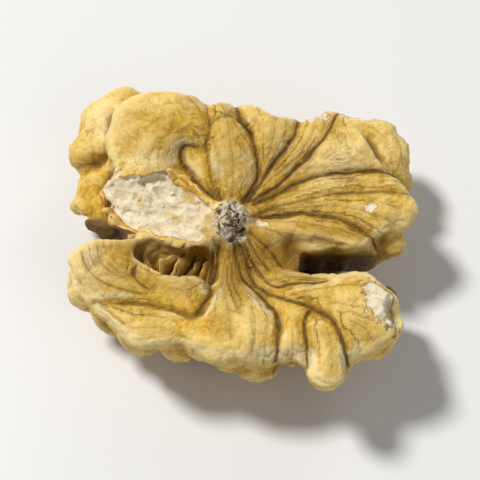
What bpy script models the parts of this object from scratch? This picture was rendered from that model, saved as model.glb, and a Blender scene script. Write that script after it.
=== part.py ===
"""Half of a walnut kernel, lying on its folded outer side with its inner face up.

The inner face is a butterfly of two lobes that meet at a scar, the hub. Veins run out from the hub in
shallow grooves. Under the face the flesh swells into rounded folds that run down to the belly.
Lengths are in millimetres and are scaled to metres where an object is made. X runs along the cleft
between the lobes, Y across them and Z up. While it is shaped, the kernel has its origin at the hub.
"""

import math
import random

import bmesh
import bpy
import numpy as np
from mathutils import Vector, noise

MM = 0.001

# Driving sizes
FACE_DEPTH = 3.0        # thickness of the face sheet
RIM_ROUND = 1.3         # radius of its rolled rim
BELLY_DEPTH = 10.4      # hub plane down to the underside of the folds
DISH_RISE = 1.2         # how far the outer rims stand above the middle of the face
DISH_FROM = (2.0, 14.0)             # distances from the cleft between which the face rises
BLEND_DEPTH = 6.5       # depth over which the face's relief fades out
BLEND_TOP = 0.4         # depth down to which it is full
FLAT_CUT = 0.6          # how much of the lowest folds is worn flat where the kernel rests

# Mesh sizes
FUSE_VOXEL = 0.36
FINISH_VOXEL = 0.32
TRIANGLES = 11600
SEED = 7                # of the folds
CREASE_SEED = 4         # of the creases

SKIN_COLOUR = (0.56, 0.37, 0.10, 1.0)

# Outline of the inner face, anticlockwise from the inner end of the open cleft
OUTLINE = [
    (5.2, -2.7), (6.3, -2.0), (8.6, -2.4), (12.2, -3.3), (14.4, -2.1), (17.9, 0.3),
    (18.5, 1.9), (16.9, 4.1), (14.3, 7.1), (11.7, 11.3), (10.2, 11.8), (7.2, 11.3),
    (4.4, 11.3), (2.6, 12.5), (-0.4, 13.1), (-2.4, 12.7), (-4.2, 13.6), (-8.4, 13.9),
    (-10.7, 12.8), (-12.2, 9.9), (-12.4, 7.0), (-11.7, 5.2), (-12.9, 3.5), (-12.2, 1.9),
    (-10.6, -0.1), (-9.1, -1.7), (-10.4, -2.3), (-13.4, -2.2), (-15.2, -3.6),
    (-15.0, -6.0), (-13.2, -8.6), (-10.9, -11.4), (-8.4, -13.4), (-5.2, -13.4),
    (-2.4, -14.1), (1.4, -15.1), (4.8, -14.5), (7.1, -14.8), (7.5, -16.7),
    (9.2, -17.5), (10.8, -16.6), (11.3, -14.6), (13.8, -13.9), (16.2, -11.8), (15.9, -8.5),
    (13.9, -6.2), (11.0, -5.7), (7.6, -5.6), (5.7, -4.5),
]

# Swellings (+) and hollows (-) of the face: x, y, radius along, radius across, turn, height
SWELLINGS = [
    (-7.6, 9.0, 4.6, 4.0, 20, 1.5),
    (-0.3, 6.6, 2.6, 3.4, 0, 1.1),
    (4.3, 9.3, 2.4, 2.6, -20, 0.6),
    (10.5, 7.2, 4.0, 3.6, -35, 0.7),
    (13.8, 0.8, 3.6, 1.6, 10, 0.5),
    (-11.4, -6.2, 3.6, 3.2, -35, 1.1),
    (-5.2, -9.6, 3.4, 2.6, 0, 0.5),
    (1.2, -11.6, 2.8, 3.0, 0, 0.7),
    (5.8, -12.4, 1.8, 2.6, 0, 0.5),
    (9.2, -14.2, 1.7, 2.8, 0, 0.6),
    (12.6, -10.0, 3.2, 3.0, 0, 1.0),
    (4.4, -4.6, 2.6, 2.2, -45, -1.1),
    (-1.0, -4.6, 1.8, 2.4, 0, -1.0),
    (5.0, 3.2, 3.4, 1.8, 35, -0.6),
    (-4.9, 5.2, 1.3, 2.4, 35, -0.9),
]

# The pocket beside the hub, where the skin dives between two folds: radius at each end, and route
POCKET_RADII = (2.2, 1.4)
POCKET = [(-3.1, -4.9, -1.3), (-5.2, -5.0, -0.9), (-7.8, -3.6, 0.3)]

# Patch left of the hub where the flesh was torn open
TORN_PATCH = [
    (-12.9, 3.5), (-11.2, 4.0), (-8.9, 4.2), (-6.7, 5.1), (-4.2, 3.6), (-1.9, 1.5),
    (-0.9, -0.4), (-1.9, -2.0), (-4.0, -2.5), (-7.2, -1.9), (-9.4, -1.1), (-10.7, 0.1),
    (-12.2, 1.9),
]
TORN_SINK = 0.55
TORN_SLOPE = 0.6        # how far inside its border the patch reaches its full depth
TORN_ROUGH = 0.35
TORN_LUMPS = 0.9        # size of its lumps

# Veins in the face: depth of the groove, half its width, then its route
VEINS = [
    (1.2, 0.77, [(-1.4, 2.2), (-3.2, 4.1), (-4.9, 6.3), (-4.6, 7.5), (-3.2, 7.5)]),
    (0.72, 0.85, [(-1.0, 3.0), (-2.1, 5.2), (-2.4, 7.4), (-2.1, 9.6), (-2.5, 12.9)]),
    (1.04, 1.02, [(1.5, 2.2), (2.6, 4.4), (2.7, 6.6), (2.0, 9.1), (1.0, 11.0), (0.4, 13.0)]),
    (0.96, 0.85, [(2.2, 3.0), (3.5, 5.0), (5.2, 7.2), (6.5, 9.2), (7.0, 11.6)]),
    (0.64, 0.77, [(2.7, 3.0), (5.5, 4.7), (8.0, 6.9), (9.7, 9.1), (11.0, 11.6)]),
    (0.8, 0.94, [(2.2, 2.2), (5.5, 3.7), (8.5, 4.7), (12.7, 5.0), (16.8, 5.2)]),
    (0.4, 0.77, [(3.5, 0.8), (7.5, 2.2), (11.0, 2.7), (18.6, 2.9)]),
    (0.96, 0.77, [(2.4, 0.4), (7.0, 0.75), (9.5, 0.4), (12.0, -0.6), (14.6, -2.4)]),
    (0.56, 0.51, [(1.9, -1.4), (3.5, -2.7), (5.2, -4.7)]),
    (0.56, 0.51, [(1.5, -1.9), (3.0, -4.1), (4.0, -5.5)]),
    (0.8, 0.68, [(1.1, -2.5), (2.7, -5.2), (4.2, -7.0), (6.5, -6.8), (9.5, -6.5)]),
    (1.12, 0.94, [(0.9, -2.8), (2.0, -5.8), (3.5, -7.7), (7.7, -9.5), (9.7, -11.3), (11.2, -15.0)]),
    (1.12, 0.94, [(0.5, -3.0), (1.2, -5.8), (3.2, -8.5), (4.4, -10.2), (4.5, -12.1), (4.1, -14.9)]),
    (0.8, 0.77, [(7.7, -9.5), (6.9, -11.6), (7.2, -15.2)]),
    (0.48, 0.77, [(-0.1, -3.4), (0.4, -6.6), (1.2, -9.4)]),
    (1.2, 0.94, [(-1.0, -3.0), (-1.8, -5.8), (-1.9, -8.2), (-3.4, -10.4), (-6.7, -9.5), (-13.0, -8.8)]),
    (0.64, 0.77, [(-8.9, -5.0), (-8.7, -6.6), (-7.4, -7.8)]),
]

# Raised edges of the face: height, half the width, then the route
CRESTS = [
    (1.2, 0.9, [(-9.6, -3.0), (-13.0, -3.1), (-14.2, -4.8), (-14.0, -6.6)]),
    (0.9, 0.6, [(-8.8, -5.6), (-7.0, -6.9), (-4.8, -7.3), (-2.6, -7.0)]),
    (0.8, 0.6, [(6.0, -1.5), (8.6, -1.9), (12.0, -2.8), (13.6, -2.2)]),
    (0.8, 0.5, [(-1.9, 1.8), (-3.9, 4.6), (-5.6, 6.6)]),
    (0.7, 0.8, [(11.9, 10.8), (14.2, 7.1), (16.6, 4.4)]),
    (0.6, 0.5, [(-1.9, -2.0), (-4.0, -2.6), (-7.2, -2.1), (-9.6, -1.0)]),
]
HUB_RADIUS = 1.7
HUB_HEIGHT = 1.1
HUB_RING = 2.6          # the veins fade out inside this distance of the hub

# The flesh under the face: a dome, from which the cleft is cut
DOME_CENTRE = (1.0, -1.2, -1.4)
DOME_RADII = (13.6, 11.6, 8.0)

# The cleft runs between the lobes. Under the bridge at the hub it is only cut from below.
CLEFT = [(-19.0, -3.0), (-12.0, -2.0), (-6.0, -1.9), (0.0, -2.2), (4.0, -3.4), (8.0, -4.2), (20.0, -3.9)]
CLEFT_WIDTH = 1.5
CLEFT_ROOF = -5.2       # height of the bridge's underside
OPEN_CLEFT = [(6.9, -4.05), (10.0, -4.25), (13.0, -4.6), (20.0, -4.9)]
OPEN_WIDTHS = (2.3, 4.2)            # at its inner end and at its mouth
LEFT_NOTCH = [(-10.4, -1.8), (-12.5, -0.6), (-20.0, 1.2)]
NOTCH_WIDTHS = (1.2, 4.4)

# Where the folds of each lobe start, just inside the rim of the face
UPPER_RIM = [
    (13.0, -0.8), (15.6, 1.2), (14.4, 4.4), (12.2, 7.6), (10.2, 9.4), (7.2, 9.2), (4.0, 9.4),
    (1.6, 10.6), (-1.4, 10.9), (-4.2, 11.5), (-8.0, 11.7), (-10.0, 9.8), (-10.4, 6.4), (-10.8, 3.2),
]
LOWER_RIM = [
    (-13.2, -4.2), (-13.0, -6.2), (-11.0, -8.8), (-8.4, -11.1), (-5.0, -11.6), (-1.6, -12.4),
    (2.0, -12.9), (5.6, -12.6), (9.2, -13.2), (12.2, -12.2), (14.0, -10.6), (14.0, -8.6),
]
FOLD_RADIUS = 1.9
FOLD_PITCH = 3.7
FOLD_WANDER = 1.5
FOLD_TURNS = 5.2        # how far a fold snakes from side to side on its way, in radians
FOLD_DRIFT = 0.7        # how much that snaking shifts from one fold to the next
FOLD_TUCK = 1.25        # 1 would make the belly's sides elliptical; more draws them in sooner
FOLD_TOP = -2.4
FOLD_STEPS = 14
FOLD_STRAY = 0.25       # how far a fold's start strays along the rim, in pitches
FOLD_END = (0.8, 1.0)   # least and greatest share of its start's x at which a fold ends
FOLD_SPREAD = (0.9, 1.12)           # thinnest and thickest fold, against FOLD_RADIUS
RIDGE_SIDE = 3.2        # the folds end at this distance from the cleft
RIDGE_OFFSET = 3.0      # a long ridge flanks the cleft on each side at this distance
RIDGE_LENGTH = 0.78     # its length as a share of the keel's
RIDGE_RADIUS = 1.9
RIDGE_WAVE = 0.6
RIDGE_TURNS = 1.1       # how fast it winds, in radians for a millimetre
RIDGE_SWELL = 0.12      # how much its radius varies
RIDGE_SWELL_TURNS = 1.9
KEEL_HALF = 17.5        # half the length of the belly's keel
KEEL_POWER = 2.3        # 2 would make the keel an ellipse; more makes it longer and flatter
KEEL_LEAST = 0.4        # the keel's depth at its ends, as a share of the belly's

# Lobules that show past the rim of the face: radius and route
SHOULDERS = [
    (2.2, [(-13.8, 9.4, -4.4), (-13.3, 12.2, -4.0), (-10.8, 14.4, -4.0)]),
    (2.6, [(11.4, 10.8, -4.4), (14.8, 9.8, -4.1), (16.0, 6.6, -4.3)]),
    (1.8, [(-15.0, 4.6, -5.4), (-14.2, 6.0, -5.0), (-12.6, 7.0, -4.6)]),
]

# Bites broken out of the rim, where the pale flesh shows
BITES = [
    ((18.0, -9.8, 1.6), (3.3, 2.8, 3.4)),
    ((8.4, 12.8, 1.4), (1.7, 1.5, 1.7)),
]

LUMP_HEIGHT = 1.7       # the crumpling laid over the folds
LUMP_PITCH = 5.0
LUMP_SLOPE = 2.6        # how soon the flesh beside a crease reaches its full height
LUMP_ROUND = 0.65
LUMP_MIDDLE = 0.6
LUMP_BEND = (0.7, 0.6)  # how fine and how strong the winding of the creases is, against the pitch
LUMP_FROM = (-1.6, -4.0)            # heights between which the crumpling sets in
CURVE_STEP = 0.4


def clear_scene():
    for item in list(bpy.data.objects):
        bpy.data.objects.remove(item, do_unlink=True)


def through(points, closed=False):
    """Points a short step apart on the smooth curve through the given points."""
    knots = [Vector(p) for p in points]
    count = len(knots)
    made = []
    for i in range(count if closed else count - 1):
        if closed:
            a, b, c, d = (knots[(i + k) % count] for k in (-1, 0, 1, 2))
        else:
            a, b, c, d = (knots[min(max(i + k, 0), count - 1)] for k in (-1, 0, 1, 2))
        steps = max(2, math.ceil((c - b).length / CURVE_STEP))
        for k in range(steps):
            t = k / steps
            made.append(0.5 * (2 * b + (c - a) * t + (2 * a - 5 * b + 4 * c - d) * t ** 2
                               + (3 * b - a - 3 * c + d) * t ** 3))
    if not closed:
        made.append(knots[-1])
    return np.array(made)


def distance_to(path, places, closed=False):
    """Distance in plan from each place to the path."""
    ends = np.roll(path, -1, axis=0) if closed else path[1:]
    starts = path if closed else path[:-1]
    best = np.full(len(places), np.inf)
    for start, end in zip(starts, ends):
        run = end - start
        share = np.clip(((places - start) @ run) / max(run @ run, 1e-12), 0, 1)
        gap = places - start - share[:, None] * run
        best = np.minimum(best, np.einsum("ij,ij->i", gap, gap))
    return np.sqrt(best)


def inside(path, places):
    """True for each place within the closed path."""
    within = np.zeros(len(places), bool)
    x, y = places.T
    for (x1, y1), (x2, y2) in zip(path, np.roll(path, -1, axis=0)):
        crosses = (y1 > y) != (y2 > y)
        rise = (y2 - y1) if y2 != y1 else 1.0
        within ^= crosses & (x < (x2 - x1) * (y - y1) / rise + x1)
    return within


def smooth_step(low, high, value):
    t = np.clip((value - low) / (high - low), 0, 1)
    return t * t * (3 - 2 * t)


def bell(places, x, y, along, across, turn):
    """One at (x, y), falling off over the two radii of an ellipse turned by some degrees."""
    angle = math.radians(turn)
    dx, dy = places[:, 0] - x, places[:, 1] - y
    u = (dx * math.cos(angle) + dy * math.sin(angle)) / along
    v = (dy * math.cos(angle) - dx * math.sin(angle)) / across
    return np.exp(-(u * u + v * v))


def to_mesh(obj):
    """The object's evaluated shape as a mesh of its own, and the object removed."""
    graph = bpy.context.evaluated_depsgraph_get()
    mesh = bpy.data.meshes.new_from_object(obj.evaluated_get(graph))
    mesh.transform(obj.matrix_world)
    bpy.data.objects.remove(obj, do_unlink=True)
    return mesh


def link(name, data):
    obj = bpy.data.objects.new(name, data)
    bpy.context.scene.collection.objects.link(obj)
    return obj


def face_sheet():
    """The butterfly sheet, with its top in the hub plane."""
    curve = bpy.data.curves.new("face_sheet", "CURVE")
    curve.dimensions = "2D"
    curve.fill_mode = "BOTH"
    curve.extrude = FACE_DEPTH / 2 - RIM_ROUND
    curve.bevel_depth = RIM_ROUND
    curve.bevel_resolution = 4
    curve.offset = -RIM_ROUND
    route = through(OUTLINE, closed=True)
    spline = curve.splines.new("POLY")
    spline.points.add(len(route) - 1)
    spline.points.foreach_set("co", [c for x, y in route for c in (x, y, 0, 1)])
    spline.use_cyclic_u = True
    obj = link("face_sheet", curve)
    obj.location.z = -FACE_DEPTH / 2
    bpy.context.view_layer.update()
    return to_mesh(obj)


def ellipsoid(centre, radii):
    mesh = bpy.data.meshes.new("flesh")
    shape = bmesh.new()
    bmesh.ops.create_uvsphere(shape, u_segments=40, v_segments=24, radius=1)
    bmesh.ops.scale(shape, vec=radii, verts=shape.verts)
    bmesh.ops.translate(shape, vec=centre, verts=shape.verts)
    shape.to_mesh(mesh)
    shape.free()
    return mesh


def dome():
    """A bowl with a flat top, which fills the kernel between the face and the folds."""
    mesh = ellipsoid(DOME_CENTRE, DOME_RADII)
    for vert in mesh.vertices:
        vert.co.z = min(vert.co.z, DOME_CENTRE[2])
    return mesh


def fold(route, radii):
    """A rounded fold of flesh along a route."""
    curve = bpy.data.curves.new("fold", "CURVE")
    curve.dimensions = "3D"
    curve.bevel_depth = 1
    curve.bevel_resolution = 4
    curve.use_fill_caps = True
    spline = curve.splines.new("POLY")
    spline.points.add(len(route) - 1)
    spline.points.foreach_set("co", [c for point in route for c in (*point, 1)])
    spline.points.foreach_set("radius", radii)
    return to_mesh(link("fold", curve))


def keel_depth(x):
    """Depth of the belly's keel below the hub plane at x."""
    left = max(0, 1 - abs(x / KEEL_HALF) ** KEEL_POWER)
    return BELLY_DEPTH * max(KEEL_LEAST, left ** (1 / KEEL_POWER))


def cleft_at(x):
    """Where the cleft lies across the lobes at x."""
    xs, ys = zip(*CLEFT)
    return float(np.interp(x, xs, ys))


def rib_folds(rim, side, draw):
    """Folds that run from the rim of one lobe round under it to the ridge beside the cleft."""
    route = through(rim)
    lengths = np.concatenate([[0], np.cumsum(np.linalg.norm(np.diff(route, axis=0), axis=1))])
    count = round(lengths[-1] / FOLD_PITCH)
    phase = draw.uniform(0, 2 * math.pi)
    made = []
    for k in range(count + 1):
        along = lengths[-1] * min(max(k + draw.uniform(-FOLD_STRAY, FOLD_STRAY), 0), count) / count
        start = Vector([float(np.interp(along, lengths, axis)) for axis in route.T])
        end = Vector((start.x * draw.uniform(*FOLD_END), 0))
        end.y = cleft_at(end.x) + side * RIDGE_SIDE
        thickness = FOLD_RADIUS * draw.uniform(*FOLD_SPREAD)
        phase += draw.uniform(-FOLD_DRIFT, FOLD_DRIFT)
        run = start - end
        aside = Vector((-run.y, run.x)).normalized()
        places, radii = [], []
        for step in range(FOLD_STEPS + 1):
            share = step / FOLD_STEPS
            sweep = math.radians(90 * share)
            plan = end + run * max(math.cos(sweep), 0) ** FOLD_TUCK
            loose = math.sin(math.pi * share)
            plan = plan + aside * FOLD_WANDER * loose * math.sin(FOLD_TURNS * share + phase)
            drop = (keel_depth(plan.x) + FOLD_TOP - thickness) * math.sin(sweep)
            places.append((plan.x, plan.y, FOLD_TOP - max(drop, 0)))
            radii.append(thickness)
        made += rounded_fold(places, radii)
    return made


def keel_ridge(side, draw):
    """The long wavy ridge that flanks the cleft on one side."""
    phase = draw.uniform(0, 2 * math.pi)
    places, radii = [], []
    for step in range(4 * FOLD_STEPS + 1):
        x = KEEL_HALF * RIDGE_LENGTH * (step / (2 * FOLD_STEPS) - 1)
        wave = RIDGE_WAVE * math.sin(x * RIDGE_TURNS + phase)
        places.append((x, cleft_at(x) + side * RIDGE_OFFSET + wave, RIDGE_RADIUS - keel_depth(x)))
        radii.append(RIDGE_RADIUS * (1 + RIDGE_SWELL * math.sin(x * RIDGE_SWELL_TURNS - phase)))
    return rounded_fold(places, radii)


def rounded_fold(places, radii):
    """A fold with a round end at each end."""
    caps = [ellipsoid(places[i], (radii[i],) * 3) for i in (0, -1)]
    return [fold(places, radii), *caps]


def wall(route, widths, low, high):
    """An upright wall along a route in plan, to cut with, which widens evenly from end to end."""
    curve = bpy.data.curves.new("wall", "CURVE")
    curve.dimensions = "2D"
    curve.fill_mode = "BOTH"
    curve.extrude = (high - low) / 2
    path = through(route)
    heading = np.gradient(path, axis=0)
    heading /= np.linalg.norm(heading, axis=1)[:, None]
    half = np.linspace(*widths, len(path))[:, None] / 2
    aside = np.stack([-heading[:, 1], heading[:, 0]], axis=1) * half
    border = np.concatenate([path + aside, (path - aside)[::-1]])
    spline = curve.splines.new("POLY")
    spline.points.add(len(border) - 1)
    spline.points.foreach_set("co", [c for x, y in border for c in (x, y, 0, 1)])
    spline.use_cyclic_u = True
    obj = link("wall", curve)
    obj.location.z = (high + low) / 2
    bpy.context.view_layer.update()
    return to_mesh(obj)


def cut(mesh, cutter_mesh):
    """The mesh with the cutter's shape taken away."""
    obj, cutter = link("cut", mesh), link("cutter", cutter_mesh)
    boolean = obj.modifiers.new("cut", "BOOLEAN")
    boolean.operation = "DIFFERENCE"
    boolean.object = cutter
    made = to_mesh(obj)
    bpy.data.objects.remove(cutter, do_unlink=True)
    return made


def open_cleft(mesh):
    """Parts the two lobes: under the bridge, and right through at both ends."""
    deep = -2 * BELLY_DEPTH
    mesh = cut(mesh, fuse([wall(CLEFT, (CLEFT_WIDTH, CLEFT_WIDTH), deep, CLEFT_ROOF)], FUSE_VOXEL))
    mesh = cut(mesh, fuse([wall(OPEN_CLEFT, OPEN_WIDTHS, deep, BELLY_DEPTH)], FUSE_VOXEL))
    return cut(mesh, fuse([wall(LEFT_NOTCH, NOTCH_WIDTHS, deep, BELLY_DEPTH)], FUSE_VOXEL))


def fuse(meshes, voxel):
    """One closed skin round all the meshes, with anything sealed inside it dropped."""
    shape = bmesh.new()
    for mesh in meshes:
        shape.from_mesh(mesh)
        bpy.data.meshes.remove(mesh)
    joined = bpy.data.meshes.new("joined")
    shape.to_mesh(joined)
    shape.free()
    obj = link("joined", joined)
    remesh = obj.modifiers.new("fuse", "REMESH")
    remesh.mode = "VOXEL"
    remesh.voxel_size = voxel
    relax = obj.modifiers.new("relax", "SMOOTH")
    relax.factor = 0.5
    relax.iterations = 2
    return largest_shell(to_mesh(obj))


def largest_shell(mesh):
    shape = bmesh.new()
    shape.from_mesh(mesh)
    shells, seen = [], set()
    for first in shape.verts:
        if first in seen:
            continue
        shell, edge_of_search = {first}, [first]
        while edge_of_search:
            vert = edge_of_search.pop()
            for edge in vert.link_edges:
                other = edge.other_vert(vert)
                if other not in shell:
                    shell.add(other)
                    edge_of_search.append(other)
        seen |= shell
        shells.append(shell)
    kept = max(shells, key=len)
    loose = [vert for vert in shape.verts if vert not in kept]
    bmesh.ops.delete(shape, geom=loose, context="VERTS")
    shape.to_mesh(mesh)
    shape.free()
    return mesh


def places_of(mesh):
    """Positions and normals of the mesh's points."""
    points = np.empty(len(mesh.vertices) * 3)
    mesh.vertices.foreach_get("co", points)
    normals = np.array([normal.vector for normal in mesh.vertex_normals])
    return points.reshape(-1, 3), normals


def set_places(mesh, points):
    mesh.vertices.foreach_set("co", points.astype(np.float32).ravel())
    mesh.update()


def crumple(mesh):
    """Presses winding creases into the folds, none into the face."""
    points, normals = places_of(mesh)
    lumps = np.empty(len(points))
    for i, point in enumerate(points):
        place = Vector(point) / LUMP_PITCH
        bend = noise.noise_vector(place * LUMP_BEND[0], noise_basis="PERLIN_ORIGINAL") * LUMP_BEND[1]
        lumps[i] = noise.noise(place + bend, noise_basis="PERLIN_ORIGINAL")
    ridges = np.clip(np.abs(lumps) * LUMP_SLOPE, 0, 1) ** LUMP_ROUND - LUMP_MIDDLE
    under = smooth_step(*LUMP_FROM, points[:, 2])
    from_cleft = np.abs(points[:, 1] - [cleft_at(x) for x in points[:, 0]])
    under *= smooth_step(CLEFT_WIDTH / 2, RIDGE_SIDE, from_cleft)
    set_places(mesh, points + normals * (LUMP_HEIGHT * ridges * under)[:, None])


def relief(places, lines):
    """The strongest of the lines at each place, each falling off to both sides of its route."""
    strongest = np.zeros(len(places))
    for depth, half_width, route in lines:
        gap = distance_to(through(route), places)
        strongest = np.maximum(strongest, depth * np.exp(-gap / half_width))
    return strongest


def face_height(places):
    """How far the face stands above the hub plane at each place in plan."""
    height = DISH_RISE * smooth_step(*DISH_FROM, np.abs(places[:, 1]))
    for x, y, along, across, turn, rise in SWELLINGS:
        height += rise * bell(places, x, y, along, across, turn)
    from_hub = np.linalg.norm(places, axis=1)
    height -= relief(places, VEINS) * smooth_step(HUB_RING / 2, HUB_RING, from_hub)
    height += relief(places, CRESTS)
    return height + HUB_HEIGHT * np.exp(-(from_hub / HUB_RADIUS) ** 4)


def torn_height(places):
    """The torn flesh lies a little below the skin and is crumbly."""
    border = through(TORN_PATCH, closed=True)
    gap = distance_to(border, places, closed=True)
    within = np.where(inside(border, places), smooth_step(0, TORN_SLOPE, gap), 0)
    rough = np.array([noise.noise(Vector((x, y, 0)) / TORN_LUMPS) for x, y in places])
    return within * (TORN_ROUGH * rough - TORN_SINK)


def raise_face(mesh):
    """Gives the face its swellings and grooves, fading with depth below it."""
    points, _ = places_of(mesh)
    plan = points[:, :2]
    lift = face_height(plan) + torn_height(plan)
    points[:, 2] += lift * smooth_step(-BLEND_DEPTH, -BLEND_TOP, points[:, 2])
    set_places(mesh, points)


def sink_pocket(mesh):
    places = through(POCKET)
    radii = np.linspace(*POCKET_RADII, len(places))
    return cut(mesh, fuse(rounded_fold(places, radii), FUSE_VOXEL))


def thin_out(mesh, triangles):
    """The same shape with fewer triangles."""
    obj = link("fine", mesh)
    faces = obj.modifiers.new("triangles", "TRIANGULATE")
    faces.quad_method = "SHORTEST_DIAGONAL"
    fewer = obj.modifiers.new("fewer", "DECIMATE")
    mesh.calc_loop_triangles()
    fewer.ratio = triangles / len(mesh.loop_triangles)
    return to_mesh(obj)


def seat(mesh):
    """Wears the lowest folds flat and puts the origin under the middle of the kernel."""
    points, _ = places_of(mesh)
    floor = points[:, 2].min() + FLAT_CUT
    points[:, 2] = np.maximum(points[:, 2], floor)
    low, high = points.min(axis=0), points.max(axis=0)
    points -= ((low[0] + high[0]) / 2, (low[1] + high[1]) / 2, floor)
    set_places(mesh, points * MM)


def skin_material():
    material = bpy.data.materials.new("kernel_skin")
    material.use_nodes = True
    shader = material.node_tree.nodes["Principled BSDF"]
    shader.inputs["Base Color"].default_value = SKIN_COLOUR
    shader.inputs["Roughness"].default_value = 0.5
    shader.inputs["Metallic"].default_value = 0.0
    return material


def main():
    clear_scene()
    noise.seed_set(CREASE_SEED)
    draw = random.Random(SEED)
    pieces = [face_sheet(), dome()]
    for radius, route in SHOULDERS:
        places = through(route)
        pieces += rounded_fold(places, [radius] * len(places))
    for rim, side in ((UPPER_RIM, 1), (LOWER_RIM, -1)):
        pieces += rib_folds(rim, side, draw)
        pieces += keel_ridge(side, draw)
    mesh = open_cleft(fuse(pieces, FUSE_VOXEL))
    crumple(mesh)
    raise_face(mesh)
    mesh = sink_pocket(mesh)
    for centre, radii in BITES:
        mesh = cut(mesh, ellipsoid(centre, radii))
    mesh = fuse([mesh], FINISH_VOXEL)
    mesh = thin_out(mesh, TRIANGLES)
    seat(mesh)
    mesh.materials.append(skin_material())
    mesh.name = "kernel"
    mesh.shade_smooth()
    link("kernel", mesh)


main()
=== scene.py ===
"""A walnut kernel half, lying on its folded outer side on a pale floor, finished for a studio picture.

The kernel's solid gives its form. Here its surface is made fine: veins are engraved along their routes,
the flesh is torn open left of the scar, skin curls up round the tear, and fibres stand on the scar.
Routes on the face are plan coordinates in millimetres from the scar, +X along the cleft, +Y across it.
"""

import math

import bmesh
import bpy
import numpy as np
from bpy.props import FloatProperty, FloatVectorProperty, IntProperty, PointerProperty
from bpy.types import Operator, Panel, PropertyGroup
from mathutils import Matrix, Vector, noise
from mathutils.bvhtree import BVHTree


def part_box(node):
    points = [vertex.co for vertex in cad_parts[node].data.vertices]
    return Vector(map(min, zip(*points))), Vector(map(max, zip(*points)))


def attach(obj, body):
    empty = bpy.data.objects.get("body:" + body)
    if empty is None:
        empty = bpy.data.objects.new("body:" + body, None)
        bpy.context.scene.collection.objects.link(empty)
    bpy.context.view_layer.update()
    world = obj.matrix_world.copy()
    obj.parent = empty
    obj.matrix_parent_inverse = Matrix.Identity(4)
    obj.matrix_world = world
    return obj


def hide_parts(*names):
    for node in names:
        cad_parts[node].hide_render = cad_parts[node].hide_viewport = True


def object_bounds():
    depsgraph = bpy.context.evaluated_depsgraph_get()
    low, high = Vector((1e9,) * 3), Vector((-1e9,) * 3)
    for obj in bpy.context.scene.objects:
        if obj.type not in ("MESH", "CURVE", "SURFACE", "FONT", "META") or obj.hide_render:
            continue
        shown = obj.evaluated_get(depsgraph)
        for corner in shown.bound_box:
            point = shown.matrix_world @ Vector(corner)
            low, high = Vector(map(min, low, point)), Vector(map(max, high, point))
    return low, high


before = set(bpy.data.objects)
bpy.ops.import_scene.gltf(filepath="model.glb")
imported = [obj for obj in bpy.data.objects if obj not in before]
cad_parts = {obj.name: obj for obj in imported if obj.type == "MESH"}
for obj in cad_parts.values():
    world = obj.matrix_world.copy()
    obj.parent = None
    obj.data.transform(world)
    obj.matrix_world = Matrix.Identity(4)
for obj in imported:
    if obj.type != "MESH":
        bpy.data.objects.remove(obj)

bl_info = {
    "name": "Walnut Kernel",
    "version": (1, 0, 0),
    "blender": (4, 5, 0),
    "location": "View3D > Sidebar > Walnut",
    "description": "Finishes a walnut kernel half: skin, veins, torn flesh, scar and a studio",
    "category": "Add Mesh",
}

MM = 0.001
CAD_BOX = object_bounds()

# The scar's place, from the low corner of the kernel's box
SCAR_FROM_CORNER = Vector((16.60, 17.42, 10.56)) * MM
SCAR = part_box("kernel")[0] + SCAR_FROM_CORNER

# The photograph's view: looking down on the face
CAMERA_ELEVATION = 65
CAMERA_LENS = 100
KERNEL_SHARE = 0.73     # how much of the frame's width the kernel fills

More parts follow.
